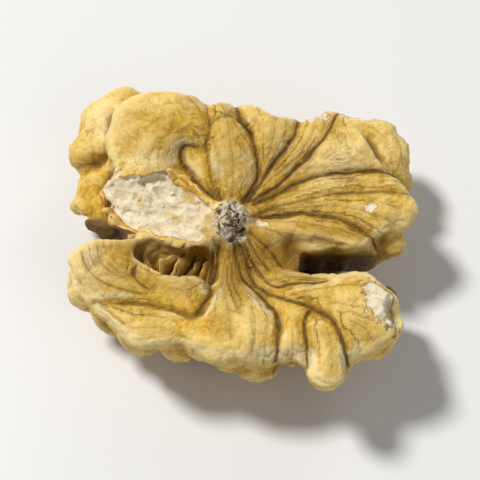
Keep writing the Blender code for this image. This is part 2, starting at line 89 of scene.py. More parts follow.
# Veins of the face: strength, then route
VEINS = [
    (0.9, [(-1.4, 2.2), (-3.2, 4.1), (-4.9, 6.3), (-4.6, 7.5), (-3.2, 7.5)]),
    (0.6, [(-1.0, 2.0), (-2.1, 5.2), (-2.4, 7.4), (-2.1, 9.6), (-2.5, 12.9)]),
    (1.0, [(1.0, 1.6), (2.6, 4.4), (2.7, 6.6), (2.0, 9.1), (1.0, 11.0), (0.4, 13.6)]),
    (1.0, [(1.6, 2.0), (3.5, 5.0), (5.2, 7.2), (6.5, 9.2), (7.0, 12.0)]),
    (0.8, [(2.0, 2.0), (5.5, 4.7), (8.0, 6.9), (9.7, 9.1), (11.0, 12.0)]),
    (0.9, [(2.0, 1.6), (5.5, 3.7), (8.5, 4.7), (12.7, 5.0), (17.2, 5.2)]),
    (0.6, [(2.2, 0.8), (7.5, 2.2), (11.0, 2.7), (18.8, 2.9)]),
    (1.0, [(2.0, 0.3), (7.0, 0.75), (9.5, 0.4), (12.0, -0.6), (14.8, -2.6)]),
    (0.7, [(1.6, -1.2), (3.5, -2.7), (5.2, -4.7)]),
    (0.7, [(1.4, -1.5), (3.0, -4.1), (4.0, -5.5)]),
    (0.8, [(1.1, -2.0), (2.7, -5.2), (4.2, -7.0), (6.5, -6.8), (9.5, -6.5)]),
    (1.0, [(0.8, -2.2), (2.0, -5.8), (3.5, -7.7), (7.7, -9.5), (9.7, -11.3), (11.2, -15.4)]),
    (1.0, [(0.4, -2.4), (1.2, -5.8), (3.2, -8.5), (4.4, -10.2), (4.5, -12.1), (4.1, -15.4)]),
    (0.8, [(7.7, -9.5), (6.9, -11.6), (7.2, -15.6)]),
    (0.5, [(-0.1, -2.6), (0.4, -6.6), (1.2, -9.4)]),
    (0.85, [(-1.0, -2.4), (-1.8, -5.8), (-1.9, -8.2), (-3.4, -10.4)]),
    (0.5, [(-2.4, -9.5), (-3.6, -10.4), (-6.7, -9.5), (-13.4, -8.8)]),
    (0.8, [(-8.9, -5.0), (-9.0, -6.6), (-7.6, -7.9)]),
    (0.45, [(-4.5, 13.4), (-3.0, 11.3), (-2.2, 9.6), (-2.3, 8.0)]),
    (0.4, [(8.5, 9.9), (7.7, 8.0), (6.5, 6.3), (4.0, 4.6), (2.2, 2.6)]),
    (0.4, [(4.6, 11.2), (4.3, 8.6), (3.9, 7.0), (3.2, 5.6)]),
    (0.35, [(2.4, 1.0), (6.0, 2.9), (10.0, 3.8), (14.0, 4.0), (17.4, 4.1)]),
    (0.4, [(3.4, 0.2), (6.5, -0.3), (9.0, -0.8), (11.5, -1.5), (13.0, -2.4)]),
    (0.35, [(3.0, 0.9), (8.0, 1.4), (11.0, 1.2), (14.0, 0.2), (16.0, -0.6)]),
    (0.5, [(1.0, -2.1), (2.0, -4.8), (3.6, -6.3), (6.5, -6.0), (9.5, -6.2)]),
    (0.4, [(5.5, -8.2), (8.2, -7.7), (11.5, -7.4), (14.2, -7.4)]),
    (0.4, [(9.2, -9.2), (11.6, -9.9), (13.6, -10.4)]),
    (0.35, [(11.0, -11.2), (12.6, -12.2), (13.4, -13.4)]),
    (0.35, [(2.0, -9.4), (2.4, -11.8), (2.0, -14.9)]),
    (0.35, [(-0.6, -3.4), (-0.8, -6.6), (-0.2, -9.8), (0.2, -13.4)]),
    (0.35, [(9.0, -11.8), (9.4, -13.8), (9.3, -16.4)]),
    (0.5, [(-14.3, -3.9), (-13.5, -5.8), (-12.0, -7.3), (-10.0, -8.1), (-7.6, -8.4)]),
    (0.42, [(-12.8, -3.2), (-12.3, -5.0), (-11.0, -6.5), (-9.4, -7.2)]),
    (0.26, [(-11.2, -3.0), (-11.2, -4.6), (-10.2, -5.8)]),
    (0.35, [(-12.6, -9.0), (-9.5, -11.6), (-6.4, -12.0), (-3.8, -12.8)]),
    (0.35, [(-4.2, 5.3), (-3.4, 3.6), (-2.0, 2.2)]),
    (0.16, [(-11.4, 7.4), (-10.6, 10.0), (-8.6, 12.2), (-6.4, 13.4)]),
    (0.18, [(-9.6, 5.8), (-8.6, 8.2), (-7.0, 9.8), (-5.2, 10.4)]),
    (0.35, [(0.2, 2.2), (0.3, 4.6), (0.0, 7.2), (-0.2, 10.0), (-1.0, 12.8)]),
    (0.3, [(-0.7, 2.2), (-1.2, 4.8), (-1.3, 7.6)]),
    (0.4, [(12.2, 10.8), (14.2, 7.4), (15.8, 5.6)]),
    (0.5, [(-2.2, 9.4), (-1.3, 10.6), (0.5, 10.9), (2.0, 9.4)]),
    (0.2, [(-1.9, 6.6), (-0.9, 8.0), (0.6, 8.0), (1.9, 6.4)]),
    (1.0, [(-4.4, -2.9), (-5.5, -4.4), (-6.3, -5.8)]),
    (0.9, [(-3.4, -3.0), (-4.2, -4.6), (-4.8, -6.2)]),
    (0.9, [(-2.5, -3.0), (-3.0, -4.6), (-3.4, -6.2)]),
    (0.8, [(-1.6, -2.8), (-1.9, -4.6), (-2.1, -6.4)]),
]
VEIN_STEP = 0.25        # distance between points of a vein's line
VEIN_WOBBLE = 0.14      # how far a vein strays from its route

# Where the flesh is torn open, left of the scar
TEAR = [
    (-12.9, 3.5), (-11.2, 4.0), (-8.9, 4.4), (-6.9, 4.7), (-4.8, 3.5), (-2.3, 1.5),
    (-1.2, -0.3), (-2.0, -1.9), (-4.0, -2.3), (-7.2, -1.8), (-9.4, -1.0), (-10.7, 0.2),
    (-12.2, 1.9),
]
TEAR_RAGGED = 0.55      # how far the tear's border strays in and out
TEAR_ALONG = (0.95, -0.31)          # the way that its shards lie
TEAR_GRAIN = 0.42       # less than 1 makes the shards longer than wide

# Smaller places where the skin is gone: centre in plan, radii and turn in degrees
CHIPS = [
    ((14.4, -9.5), (1.7, 2.9), 20),
    ((8.3, 11.1), (1.7, 0.75), -4),
    ((13.7, 0.95), (0.6, 0.45), 20),
    ((-12.3, 4.3), (1.2, 1.5), -38),
    ((2.8, -0.1), (0.8, 0.5), -10),
]
CHIP_TORN = 0.85        # how open they are, against the tear
CHIP_RAGGED = 0.35      # how uneven their borders are, as a share of their radii
CHIP_DROP = 1.1         # how far down a slope they reach in full, and how far they fade below that
CHIP_FADE = 1.3

# Paler stretches of skin, partly the skin's own tone and partly painted highlight on lit lobules and rims:
# centre in plan, radii, turn and strength
PALE = [
    ((10.4, 6.0), (5.0, 3.4), 40, 0.75),
    ((13.4, -9.4), (2.8, 3.2), 0, 0.6),
    ((-14.0, -5.2), (2.6, 3.4), 10, 1.0),
    ((2.9, -0.1), (1.1, 0.8), 0, 1.0),
    ((-12.8, 11.6), (2.8, 3.8), 20, 1.0),
    ((16.0, 8.4), (3.0, 3.6), -30, 0.6),
    ((1.6, -11.0), (2.4, 3.4), 0, 0.5),
    ((-8.4, 5.9), (2.6, 1.3), 5, 1.0),
    ((-8.4, 12.2), (4.4, 2.0), 10, 0.5),
]

# Painted shade: darker stretches of skin in the broad valleys between the lobes, laid out in the same way
SHADED_STRETCHES = [
    ((0.6, -4.8), (2.8, 3.6), 0, 0.8),
    ((4.2, -3.4), (3.2, 2.0), -45, 0.8),
    ((-0.3, 7.2), (2.4, 3.8), 0, 0.3),
    ((9.6, -1.5), (4.4, 1.0), -8, 0.6),
    ((4.8, 1.4), (3.6, 1.5), 4, 0.3),
    ((5.6, -2.4), (1.7, 1.4), -30, 0.85),
    ((4.6, 4.8), (2.2, 3.6), -40, 0.2),
    ((-5.6, -7.4), (3.6, 1.2), 10, 0.35),
    ((-5.4, 8.4), (2.8, 1.6), 20, 0.3),
    ((-10.6, -6.4), (2.6, 1.0), -30, 0.4),
    ((-9.4, -3.8), (2.4, 1.5), 10, 0.6),
    ((-5.2, 6.4), (2.0, 1.8), 0, 0.2),
    ((3.8, 8.0), (1.6, 2.6), -20, 0.2),
    ((-10.4, 8.6), (1.8, 2.4), 20, 0.15),
]

# Painted shade in the pocket, the right cleft and the left notch: strength, reach to both sides, heights
# where they set in and fade, then route in plan
SHADED_HOLLOWS = [
    (0.3, 1.9, (-1.2, -4.2), (-9.0, -7.0), [(-3.1, -4.7), (-5.2, -4.9), (-7.4, -3.8)]),
    (1.0, 2.6, (-1.0, -2.8), (-11.0, -8.5), [(6.0, -3.7), (10.0, -4.3), (13.0, -4.6), (17.5, -4.9)]),
    (0.8, 1.3, (-0.8, -1.7), (-11.0, -8.5), [(6.2, -2.9), (6.8, -3.8), (7.0, -4.6)]),
    (1.0, 2.4, (-0.6, -2.6), (-11.0, -8.5), [(-9.6, -1.9), (-12.5, -0.6), (-16.5, 0.6)]),
]
SCAR_SPOT = ((0.05, -0.35), (1.65, 2.25), 8)
SCAR_RAGGED = 0.22      # how uneven its border is, as a share of its radii

# Curled edges of torn skin: width, curl in degrees, darkness as painted shade where they lie in the pocket,
# then route in plan.
# The last five stand on the pocket's floor.
SKIN_EDGES = [
    (1.3, 60, 0.0, [(-12.7, 3.6), (-12.0, 2.0), (-11.1, 0.7), (-10.0, -0.5), (-8.7, -1.4)]),
    (0.8, 105, 0.0, [(-7.6, -2.0), (-6.2, -2.1), (-5.0, -2.2), (-3.6, -2.4), (-2.4, -2.2)]),
    (0.7, 80, 0.0, [(-2.4, 1.9), (-3.6, 3.2), (-4.6, 4.2), (-5.8, 4.9), (-7.4, 5.0)]),
    (0.7, 120, 0.2, [(-8.6, -5.5), (-7.8, -6.1), (-6.9, -6.4), (-5.9, -6.5)]),
    (1.7, 45, 0.3, [(-5.0, -3.3), (-5.9, -4.4), (-6.6, -5.5)]),
    (1.5, 60, 0.4, [(-3.9, -3.4), (-4.7, -4.7), (-5.3, -6.0)]),
    (1.3, 45, 0.35, [(-2.8, -3.4), (-3.4, -4.8), (-3.9, -6.1)]),
    (1.1, 60, 0.35, [(-2.0, -3.5), (-2.4, -4.8), (-2.6, -6.1)]),
    (1.0, 80, 0.5, [(-8.2, -3.0), (-8.0, -3.9), (-7.2, -4.7)]),
]

SEED = 11

# What the surface stores for each of its points
MARKS = ("gap", "reach", "vein", "strand", "face", "scar", "torn", "pocket", "pale", "deep", "hollow",
         "shade")


def size_property(name, description, default):
    """A length, with its default in millimetres."""
    return FloatProperty(name=name, description=description, default=default * MM, unit="LENGTH")


def count_property(name, description, default):
    return IntProperty(name=name, description=description, default=default)


def colour_property(name, description, default):
    return FloatVectorProperty(name=name, description=description, default=default, subtype="COLOR")


class WalnutSizes(PropertyGroup):
    """Sizes that shape the kernel's surface."""

    grain: size_property("Grain", "Spacing of the fine surface's points", 0.21)
    vein_depth: size_property("Vein depth", "Depth of the strongest vein's groove", 0.17)
    vein_width: size_property("Vein width", "Half width of a vein's groove", 0.2)
    wrinkle: size_property("Wrinkle height", "Height of the wrinkles beside the veins", 0.11)
    relief: FloatProperty(name="Relief", description="How much folds and creases are sharpened",
                          default=0.22, min=0, subtype="FACTOR")
    tear_depth: size_property("Tear depth", "How far torn flesh lies below the skin", 0.35)
    crumb: size_property("Crumb size", "Size of the lumps in torn flesh", 1.5)
    crumb_count: count_property("Crumbs", "Loose crumbs stuck on torn flesh", 16)
    skin: size_property("Skin thickness", "Thickness of a curled skin edge", 0.13)
    fibre: size_property("Fibre length", "Length of the scar's longest fibres", 0.62)
    fibre_count: count_property("Fibres", "Fibres on the scar", 150)


class WalnutColours(PropertyGroup):
    """Colours of the kernel, as they are in plain white light. The deep, vein, pale, cream and warm flesh
    colours also paint shade and highlight.
    """

    skin: colour_property("Skin", "Seed skin between the veins", (0.67, 0.385, 0.026))
    # Pale skin is the skin's own paler tone and also painted highlight on ridges, rims and lit lobules
    skin_pale_and_highlight: colour_property("Pale skin", "Skin on raised lobules", (0.88, 0.655, 0.23))
    # Cream skin on the rims is partly thin skin and partly painted highlight
    skin_cream_and_highlight: colour_property("Cream skin", "Skin where it is thinnest, on the rims", (0.93, 0.81, 0.48))
    # Deep skin is the skin's own darker tone and also the painted shade in hollows, clefts, the pocket and
    # broad valleys
    skin_deep_and_shade: colour_property("Deep skin", "Skin where it is thicker", (0.28, 0.145, 0.006))
    # The vein colour also paints the deepest shade, in the clefts, the pocket and deep creases
    vein: colour_property("Vein", "Veins and creases", (0.095, 0.043, 0.009))
    flesh: colour_property("Flesh", "Torn flesh", (0.82, 0.73, 0.54))
    # Warm flesh is the flesh's own warmer tone and also painted shade in its hollows
    flesh_warm_and_shade: colour_property("Warm flesh", "Hollows in torn flesh", (0.66, 0.46, 0.18))
    skin_edge: colour_property("Torn skin", "Curled edges of torn skin", (0.50, 0.21, 0.045))
    scar_pale: colour_property("Pale scar", "Pale dried fibres at the scar", (0.66, 0.57, 0.44))
    scar: colour_property("Scar", "Dried fibres at the scar", (0.075, 0.046, 0.042))


def sizes():
    return bpy.context.scene.walnut_sizes


def colours():
    return bpy.context.scene.walnut_colours


# Routes and masks in the face's plan

def through(points, step):
    """Points a short step apart on the smooth curve through the given points."""
    knots = [Vector(p) for p in points]
    last = len(knots) - 1
    made = []
    for i in range(last):
        a, b, c, d = (knots[min(max(i + k, 0), last)] for k in (-1, 0, 1, 2))
        count = max(2, math.ceil((c - b).length / step))
        for k in range(count):
            t = k / count
            made.append(0.5 * (2 * b + (c - a) * t + (2 * a - 5 * b + 4 * c - d) * t ** 2
                               + (3 * b - a - 3 * c + d) * t ** 3))
    made.append(knots[-1])
    return np.array(made)


def distance_to(path, places):
    """Distance from each place to the nearest part of a path."""
    best = np.full(len(places), np.inf)
    for start, end in zip(path[:-1], path[1:]):
        run = end - start
        share = np.clip(((places - start) @ run) / max(run @ run, 1e-12), 0, 1)
        gap = places - start - share[:, None] * run
        best = np.minimum(best, np.einsum("ij,ij->i", gap, gap))
    return np.sqrt(best)


def inside(path, places):
    """Whether each place lies within a closed path."""
    within = np.zeros(len(places), bool)
    x, y = places.T
    for (x1, y1), (x2, y2) in zip(path[:-1], path[1:]):
        crosses = (y1 > y) != (y2 > y)
        rise = (y2 - y1) if y2 != y1 else 1.0
        within ^= crosses & (x < (x2 - x1) * (y - y1) / rise + x1)
    return within


def smooth_step(low, high, value):
    """0 up to the first value and 1 from the second on, smooth between them."""
    t = np.clip((value - low) / (high - low), 0, 1)
    return t * t * (3 - 2 * t)


def spot(places, centre, radii, turn):
    """Distance from an ellipse's centre, 1 on its border."""
    angle = math.radians(turn)
    dx, dy = places[:, 0] - centre[0], places[:, 1] - centre[1]
    u = (dx * math.cos(angle) + dy * math.sin(angle)) / radii[0]
    v = (dy * math.cos(angle) - dx * math.sin(angle)) / radii[1]
    return np.hypot(u, v)


def stretches(rows, places):
    """The strongest of some soft-edged ellipses at each place."""
    strongest = np.zeros(len(places))
    for centre, radii, turn, strength in rows:
        strongest = np.maximum(strongest, strength * np.exp(-spot(places, centre, radii, turn) ** 2))
    return strongest


def rough(points, pitch, octaves=3):
    """Turbulent noise between about -1 and 1 at each point, with lumps of the given pitch."""
    return np.array([noise.fractal(Vector(p) / pitch, 1.0, 2.0, octaves) for p in points])


# Meshes

BOX_MARGIN = 1e-7       # in metres


def link(name, data):
    obj = bpy.data.objects.new(name, data)
    bpy.context.scene.collection.objects.link(obj)
    return obj


def bake(obj):
    """Puts the result of the object's modifiers in its own mesh and removes them."""
    graph = bpy.context.evaluated_depsgraph_get()
    made = bpy.data.meshes.new_from_object(obj.evaluated_get(graph))
    obj.modifiers.clear()
    obj.data = made
    return obj


def points_of(mesh):
    points = np.empty(len(mesh.vertices) * 3)
    mesh.vertices.foreach_get("co", points)
    return points.reshape(-1, 3)


def normals_of(mesh):
    return np.array([normal.vector for normal in mesh.vertex_normals])


def set_points(mesh, points):
    mesh.vertices.foreach_set("co", points.astype(np.float32).ravel())
    mesh.update()


def spread(mesh, values, rounds):
    """Values of the mesh's points, averaged with their neighbours some times over."""
    edges = np.empty(len(mesh.edges) * 2, int)
    mesh.edges.foreach_get("vertices", edges)
    a, b = edges.reshape(-1, 2).T
    count = np.bincount(np.concatenate([a, b]), minlength=len(values))
    values = values.reshape(len(values), -1).astype(float)
    for _ in range(rounds):
        total = np.stack([
            np.bincount(np.concatenate([a, b]), weights=np.concatenate([column[b], column[a]]),
                        minlength=len(values))
            for column in values.T
        ], axis=1)
        values = (values + total) / (count + 1)[:, None]
    return values if values.shape[1] > 1 else values[:, 0]


def store(mesh, name, values):
    attribute = mesh.attributes.new(name, "FLOAT", "POINT")
    attribute.data.foreach_set("value", np.asarray(values, np.float32))


def soften(mesh, name, rounds):
    """Averages an attribute with its neighbours some times over."""
    values = np.empty(len(mesh.vertices), np.float32)
    mesh.attributes[name].data.foreach_get("value", values)
    mesh.attributes[name].data.foreach_set("value", spread(mesh, values, rounds).astype(np.float32))


def keep_in_box(mesh):
    low, high = np.array(CAD_BOX[0]), np.array(CAD_BOX[1])
    set_points(mesh, np.clip(points_of(mesh), low + BOX_MARGIN, high - BOX_MARGIN))


def finish_piece(obj):
    """Keeps a piece inside the solid's box and attaches it to the root body."""
    keep_in_box(obj.data)
    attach(obj, "root")


# Node trees

COLOUR, VALUE, VECTOR, WHOLE = "NodeSocketColor", "NodeSocketFloat", "NodeSocketVector", "NodeSocketInt"
GEOMETRY, OBJECT, MATERIAL = "NodeSocketGeometry", "NodeSocketObject", "NodeSocketMaterial"


class Field:
    """A node's output, which can be reckoned with like a number."""

    def __init__(self, graph, output):
        self.graph = graph
        self.output = output

    def __add__(self, other):
        return self.graph.math("ADD", self, other)

    def __sub__(self, other):
        return self.graph.math("SUBTRACT", self, other)

    def __rsub__(self, other):
        return self.graph.math("SUBTRACT", other, self)

    def __mul__(self, other):
        return self.graph.math("MULTIPLY", self, other)

    def __truediv__(self, other):
        return self.graph.math("DIVIDE", self, other)

    def __pow__(self, other):
        return self.graph.math("POWER", self, other)


class Graph:
    """Adds nodes to a tree. Their inputs are numbers, colours and fields, and their outputs are fields."""

    def __init__(self, tree):
        self.tree = tree

    def put(self, socket, value):
        """Links a field to a socket, or sets a value there."""
        if isinstance(value, Field):
            self.tree.links.new(value.output, socket)
        elif socket.type == "RGBA":
            socket.default_value = (*value[:3], 1.0)
        else:
            socket.default_value = value

    def node(self, kind, inputs=None, **settings):
        made = self.tree.nodes.new(kind)
        for name, value in settings.items():
            setattr(made, name, value)
        for key, value in (inputs or {}).items():
            self.put(made.inputs[key], value)
        return made

    def out(self, node, output):
        return Field(self, node.outputs[output])

    def add(self, kind, output, inputs=None, **settings):
        """One output of a new node."""
        return self.out(self.node(kind, inputs, **settings), output)

    def math(self, operation, *values, clamp=False):
        return self.add("ShaderNodeMath", 0, dict(enumerate(values)), operation=operation, use_clamp=clamp)

    def vector(self, operation, *values):
        output = "Value" if operation == "LENGTH" else "Vector"
        return self.add("ShaderNodeVectorMath", output, dict(enumerate(values)), operation=operation)

    def scaled(self, vector, factor):
        return self.add("ShaderNodeVectorMath", "Vector", {0: vector, "Scale": factor}, operation="SCALE")

    def xyz(self, x=0.0, y=0.0, z=0.0):
        return self.add("ShaderNodeCombineXYZ", "Vector", {"X": x, "Y": y, "Z": z})

    def step(self, value, low, high, bottom=0.0, top=1.0):
        """Value mapped smoothly from low..high to bottom..top."""
        inputs = {"Value": value, "From Min": low, "From Max": high, "To Min": bottom, "To Max": top}
        return self.add("ShaderNodeMapRange", "Result", inputs, interpolation_type="SMOOTHSTEP")

    def cover(self, colour, *layers):
        """A colour under some layers, each a share and a colour."""
        for share, tone in layers:
            colour = self.add("ShaderNodeMix", 2, {0: share, 6: colour, 7: tone}, data_type="RGBA")
        return colour

    def noise(self, place, scale, detail=3.0, roughness=0.55, distortion=0.0):
        inputs = {"Vector": place, "Scale": scale, "Detail": detail, "Roughness": roughness,
                  "Distortion": distortion}
        return self.add("ShaderNodeTexNoise", "Fac", inputs)

    def attribute(self, name):
        return self.add("ShaderNodeAttribute", "Fac", attribute_name=name)

    def named(self, name):
        return self.add("GeometryNodeInputNamedAttribute", "Attribute", {"Name": name})

    def store(self, shape, name, value):
        """The shape with a value on each of its points."""
        inputs = {"Geometry": shape, "Name": name, "Value": value}
        return self.add("GeometryNodeStoreNamedAttribute", "Geometry", inputs,
                        data_type="FLOAT", domain="POINT")


def node_group(name, kind, inputs, outputs):
    """An empty group's graph, its inputs as fields and its output node's sockets."""
    tree = bpy.data.node_groups.new(name, kind)
    for label, socket_type, default in inputs:
        made = tree.interface.new_socket(name=label, in_out="INPUT", socket_type=socket_type)
        if default is not None:
            made.default_value = default
    for label, socket_type in outputs:
        tree.interface.new_socket(name=label, in_out="OUTPUT", socket_type=socket_type)
    graph = Graph(tree)
    given = {socket.name: Field(graph, socket) for socket in graph.node("NodeGroupInput").outputs}
    return graph, given, graph.node("NodeGroupOutput").inputs


# Scales of the patterns, in waves per metre
PATCHES = 260           # drifts of the skin's tone
BLOTCHES = 800
SPECKS = 3000
THIN_SKIN = 160         # where the rims' cream shows: thin skin and painted highlight
STREAK_BREAKS = 330     # gaps in the streaks beside the veins
LINES = 190             # winding lines on the outer side
SMALL_LINES = 420
CRINKLES = 640
CRINKLE_PATCHES = 450
VEIN_SWELLS = 700       # changes of a vein's width
WARM_FLESH = 430
FLESH_CRUMBS = 1300
CHARRED = 850           # dark and pale spots of the scar
FIBRE_TONES = 1600
FIBRE_GRAIN = 5000
FLOOR_TONES = 6
VEIN_STRAY = 420        # bends of the engraved veins

# Heights of the finest relief
SKIN_BUMP = 0.2 * MM
FLESH_BUMP = 0.15 * MM
EDGE_BUMP = 0.1 * MM
FIBRE_BUMP = 0.06 * MM

# Light that enters the flesh: its share, and how far it travels
GLOW_SHARE = 0.12
GLOW_REACH = 0.9 * MM
GLOW_COLOURS = (1.0, 0.55, 0.2)     # how far each colour travels, against that


def mottled_skin_group():
    """Skin colour that drifts between three tones, with fine specks, and the height of its grain."""
    graph, given, out = node_group("Mottled skin", "ShaderNodeTree", [
        ("Place", VECTOR, None), ("Skin", COLOUR, (0.5, 0.3, 0.1, 1)), ("Pale", COLOUR, (0.7, 0.5, 0.2, 1)),
        ("Deep", COLOUR, (0.3, 0.15, 0.03, 1)), ("Paleness", VALUE, 0.0),
    ], [("Colour", COLOUR), ("Grain", VALUE)])
    step, pale, deep = graph.step, given["Pale"], given["Deep"]
    patches = graph.noise(given["Place"], PATCHES, 4, 0.6, 0.4)
    blotches = graph.noise(given["Place"], BLOTCHES, 5, 0.7, 1.0)
    specks = graph.noise(given["Place"], SPECKS, 3, 0.6)
    colour = graph.cover(
        given["Skin"],
        (step(patches, 0.5, 0.7, 0, 0.4) + given["Paleness"], pale),
        (step(patches, 0.5, 0.3, 0, 0.4), deep),
        (step(blotches, 0.49, 0.32, 0, 0.55), deep),
        (step(blotches, 0.52, 0.66, 0, 0.62), pale),
        (step(specks, 0.54, 0.66, 0, 0.45), deep),
        (step(specks, 0.45, 0.34, 0, 0.35), pale),
    )
    graph.put(out["Colour"], colour)
    graph.put(out["Grain"], blotches * 0.6 + specks * 0.4)


def torn_flesh_group():
    """Pale crumbly flesh with warmer patches, and painted shade in its hollows and low crumbs, and the
    height of its crumbs.
    """
    graph, given, out = node_group("Torn flesh", "ShaderNodeTree", [
        ("Place", VECTOR, None), ("Flesh", COLOUR, (0.9, 0.8, 0.6, 1)),
        ("Warm", COLOUR, (0.7, 0.5, 0.2, 1)), ("Hollow", VALUE, 0.0),
    ], [("Colour", COLOUR), ("Height", VALUE)])
    patches = graph.noise(given["Place"], WARM_FLESH, 6, 0.72, 0.3)
    crumbs = graph.noise(given["Place"], FLESH_CRUMBS, 5, 0.7, 0.8)
    # Warm share: the flesh's own patches, plus painted shade where the crumbs lie low and where Hollow is
    # given
    warm = graph.step(patches, 0.5, 0.64, 0, 0.85) + graph.step(crumbs, 0.5, 0.36, 0, 0.5) + given["Hollow"]
    graph.put(out["Colour"], graph.cover(given["Flesh"], (warm, given["Warm"])))
    graph.put(out["Height"], crumbs)


def fine_lines_group():
    """Thin winding dark lines, as of small veins: 1 on a line and 0 off it."""
    graph, given, out = node_group("Fine lines", "ShaderNodeTree", [
        ("Place", VECTOR, None), ("Scale", VALUE, 200.0), ("Width", VALUE, 0.02),
    ], [("Mask", VALUE)])
    pattern = graph.noise(given["Place"], given["Scale"], 2, 0.5, 0.7)
    off = graph.math("ABSOLUTE", pattern - 0.5)
    graph.put(out["Mask"], graph.step(off / given["Width"], 1.0, 0.15))


SHARED_GROUPS = {
    "Mottled skin": mottled_skin_group, "Torn flesh": torn_flesh_group, "Fine lines": fine_lines_group,
}


def use_group(graph, name, inputs):
    """The outputs of a shared group, which is made when it is first used."""
    if name not in bpy.data.node_groups:
        SHARED_GROUPS[name]()
    node = graph.node("ShaderNodeGroup", node_tree=bpy.data.node_groups[name])
    for key, value in inputs.items():
        graph.put(node.inputs[key], value)
    return {output.name: graph.out(node, output.name) for output in node.outputs}


def material(name, roughness):
    """A new material, its graph, its shader's inputs and object coordinates."""
    made = bpy.data.materials.new(name)
    made.use_nodes = True
    graph = Graph(made.node_tree)
    shader = made.node_tree.nodes["Principled BSDF"].inputs
    shader["Roughness"].default_value = roughness
    return made, graph, shader, graph.add("ShaderNodeTexCoord", "Object")


def finish_flesh(graph, shader, colour, height, bump_height):
    """Colour and relief, and light that enters the flesh."""
    graph.put(shader["Base Color"], colour)
    bump(graph, shader, height, bump_height)
    shader["Subsurface Weight"].default_value = GLOW_SHARE
    shader["Subsurface Scale"].default_value = GLOW_REACH


def bump(graph, shader, height, distance):
    inputs = {"Height": height, "Distance": distance}
    graph.put(shader["Normal"], graph.add("ShaderNodeBump", "Normal", inputs))


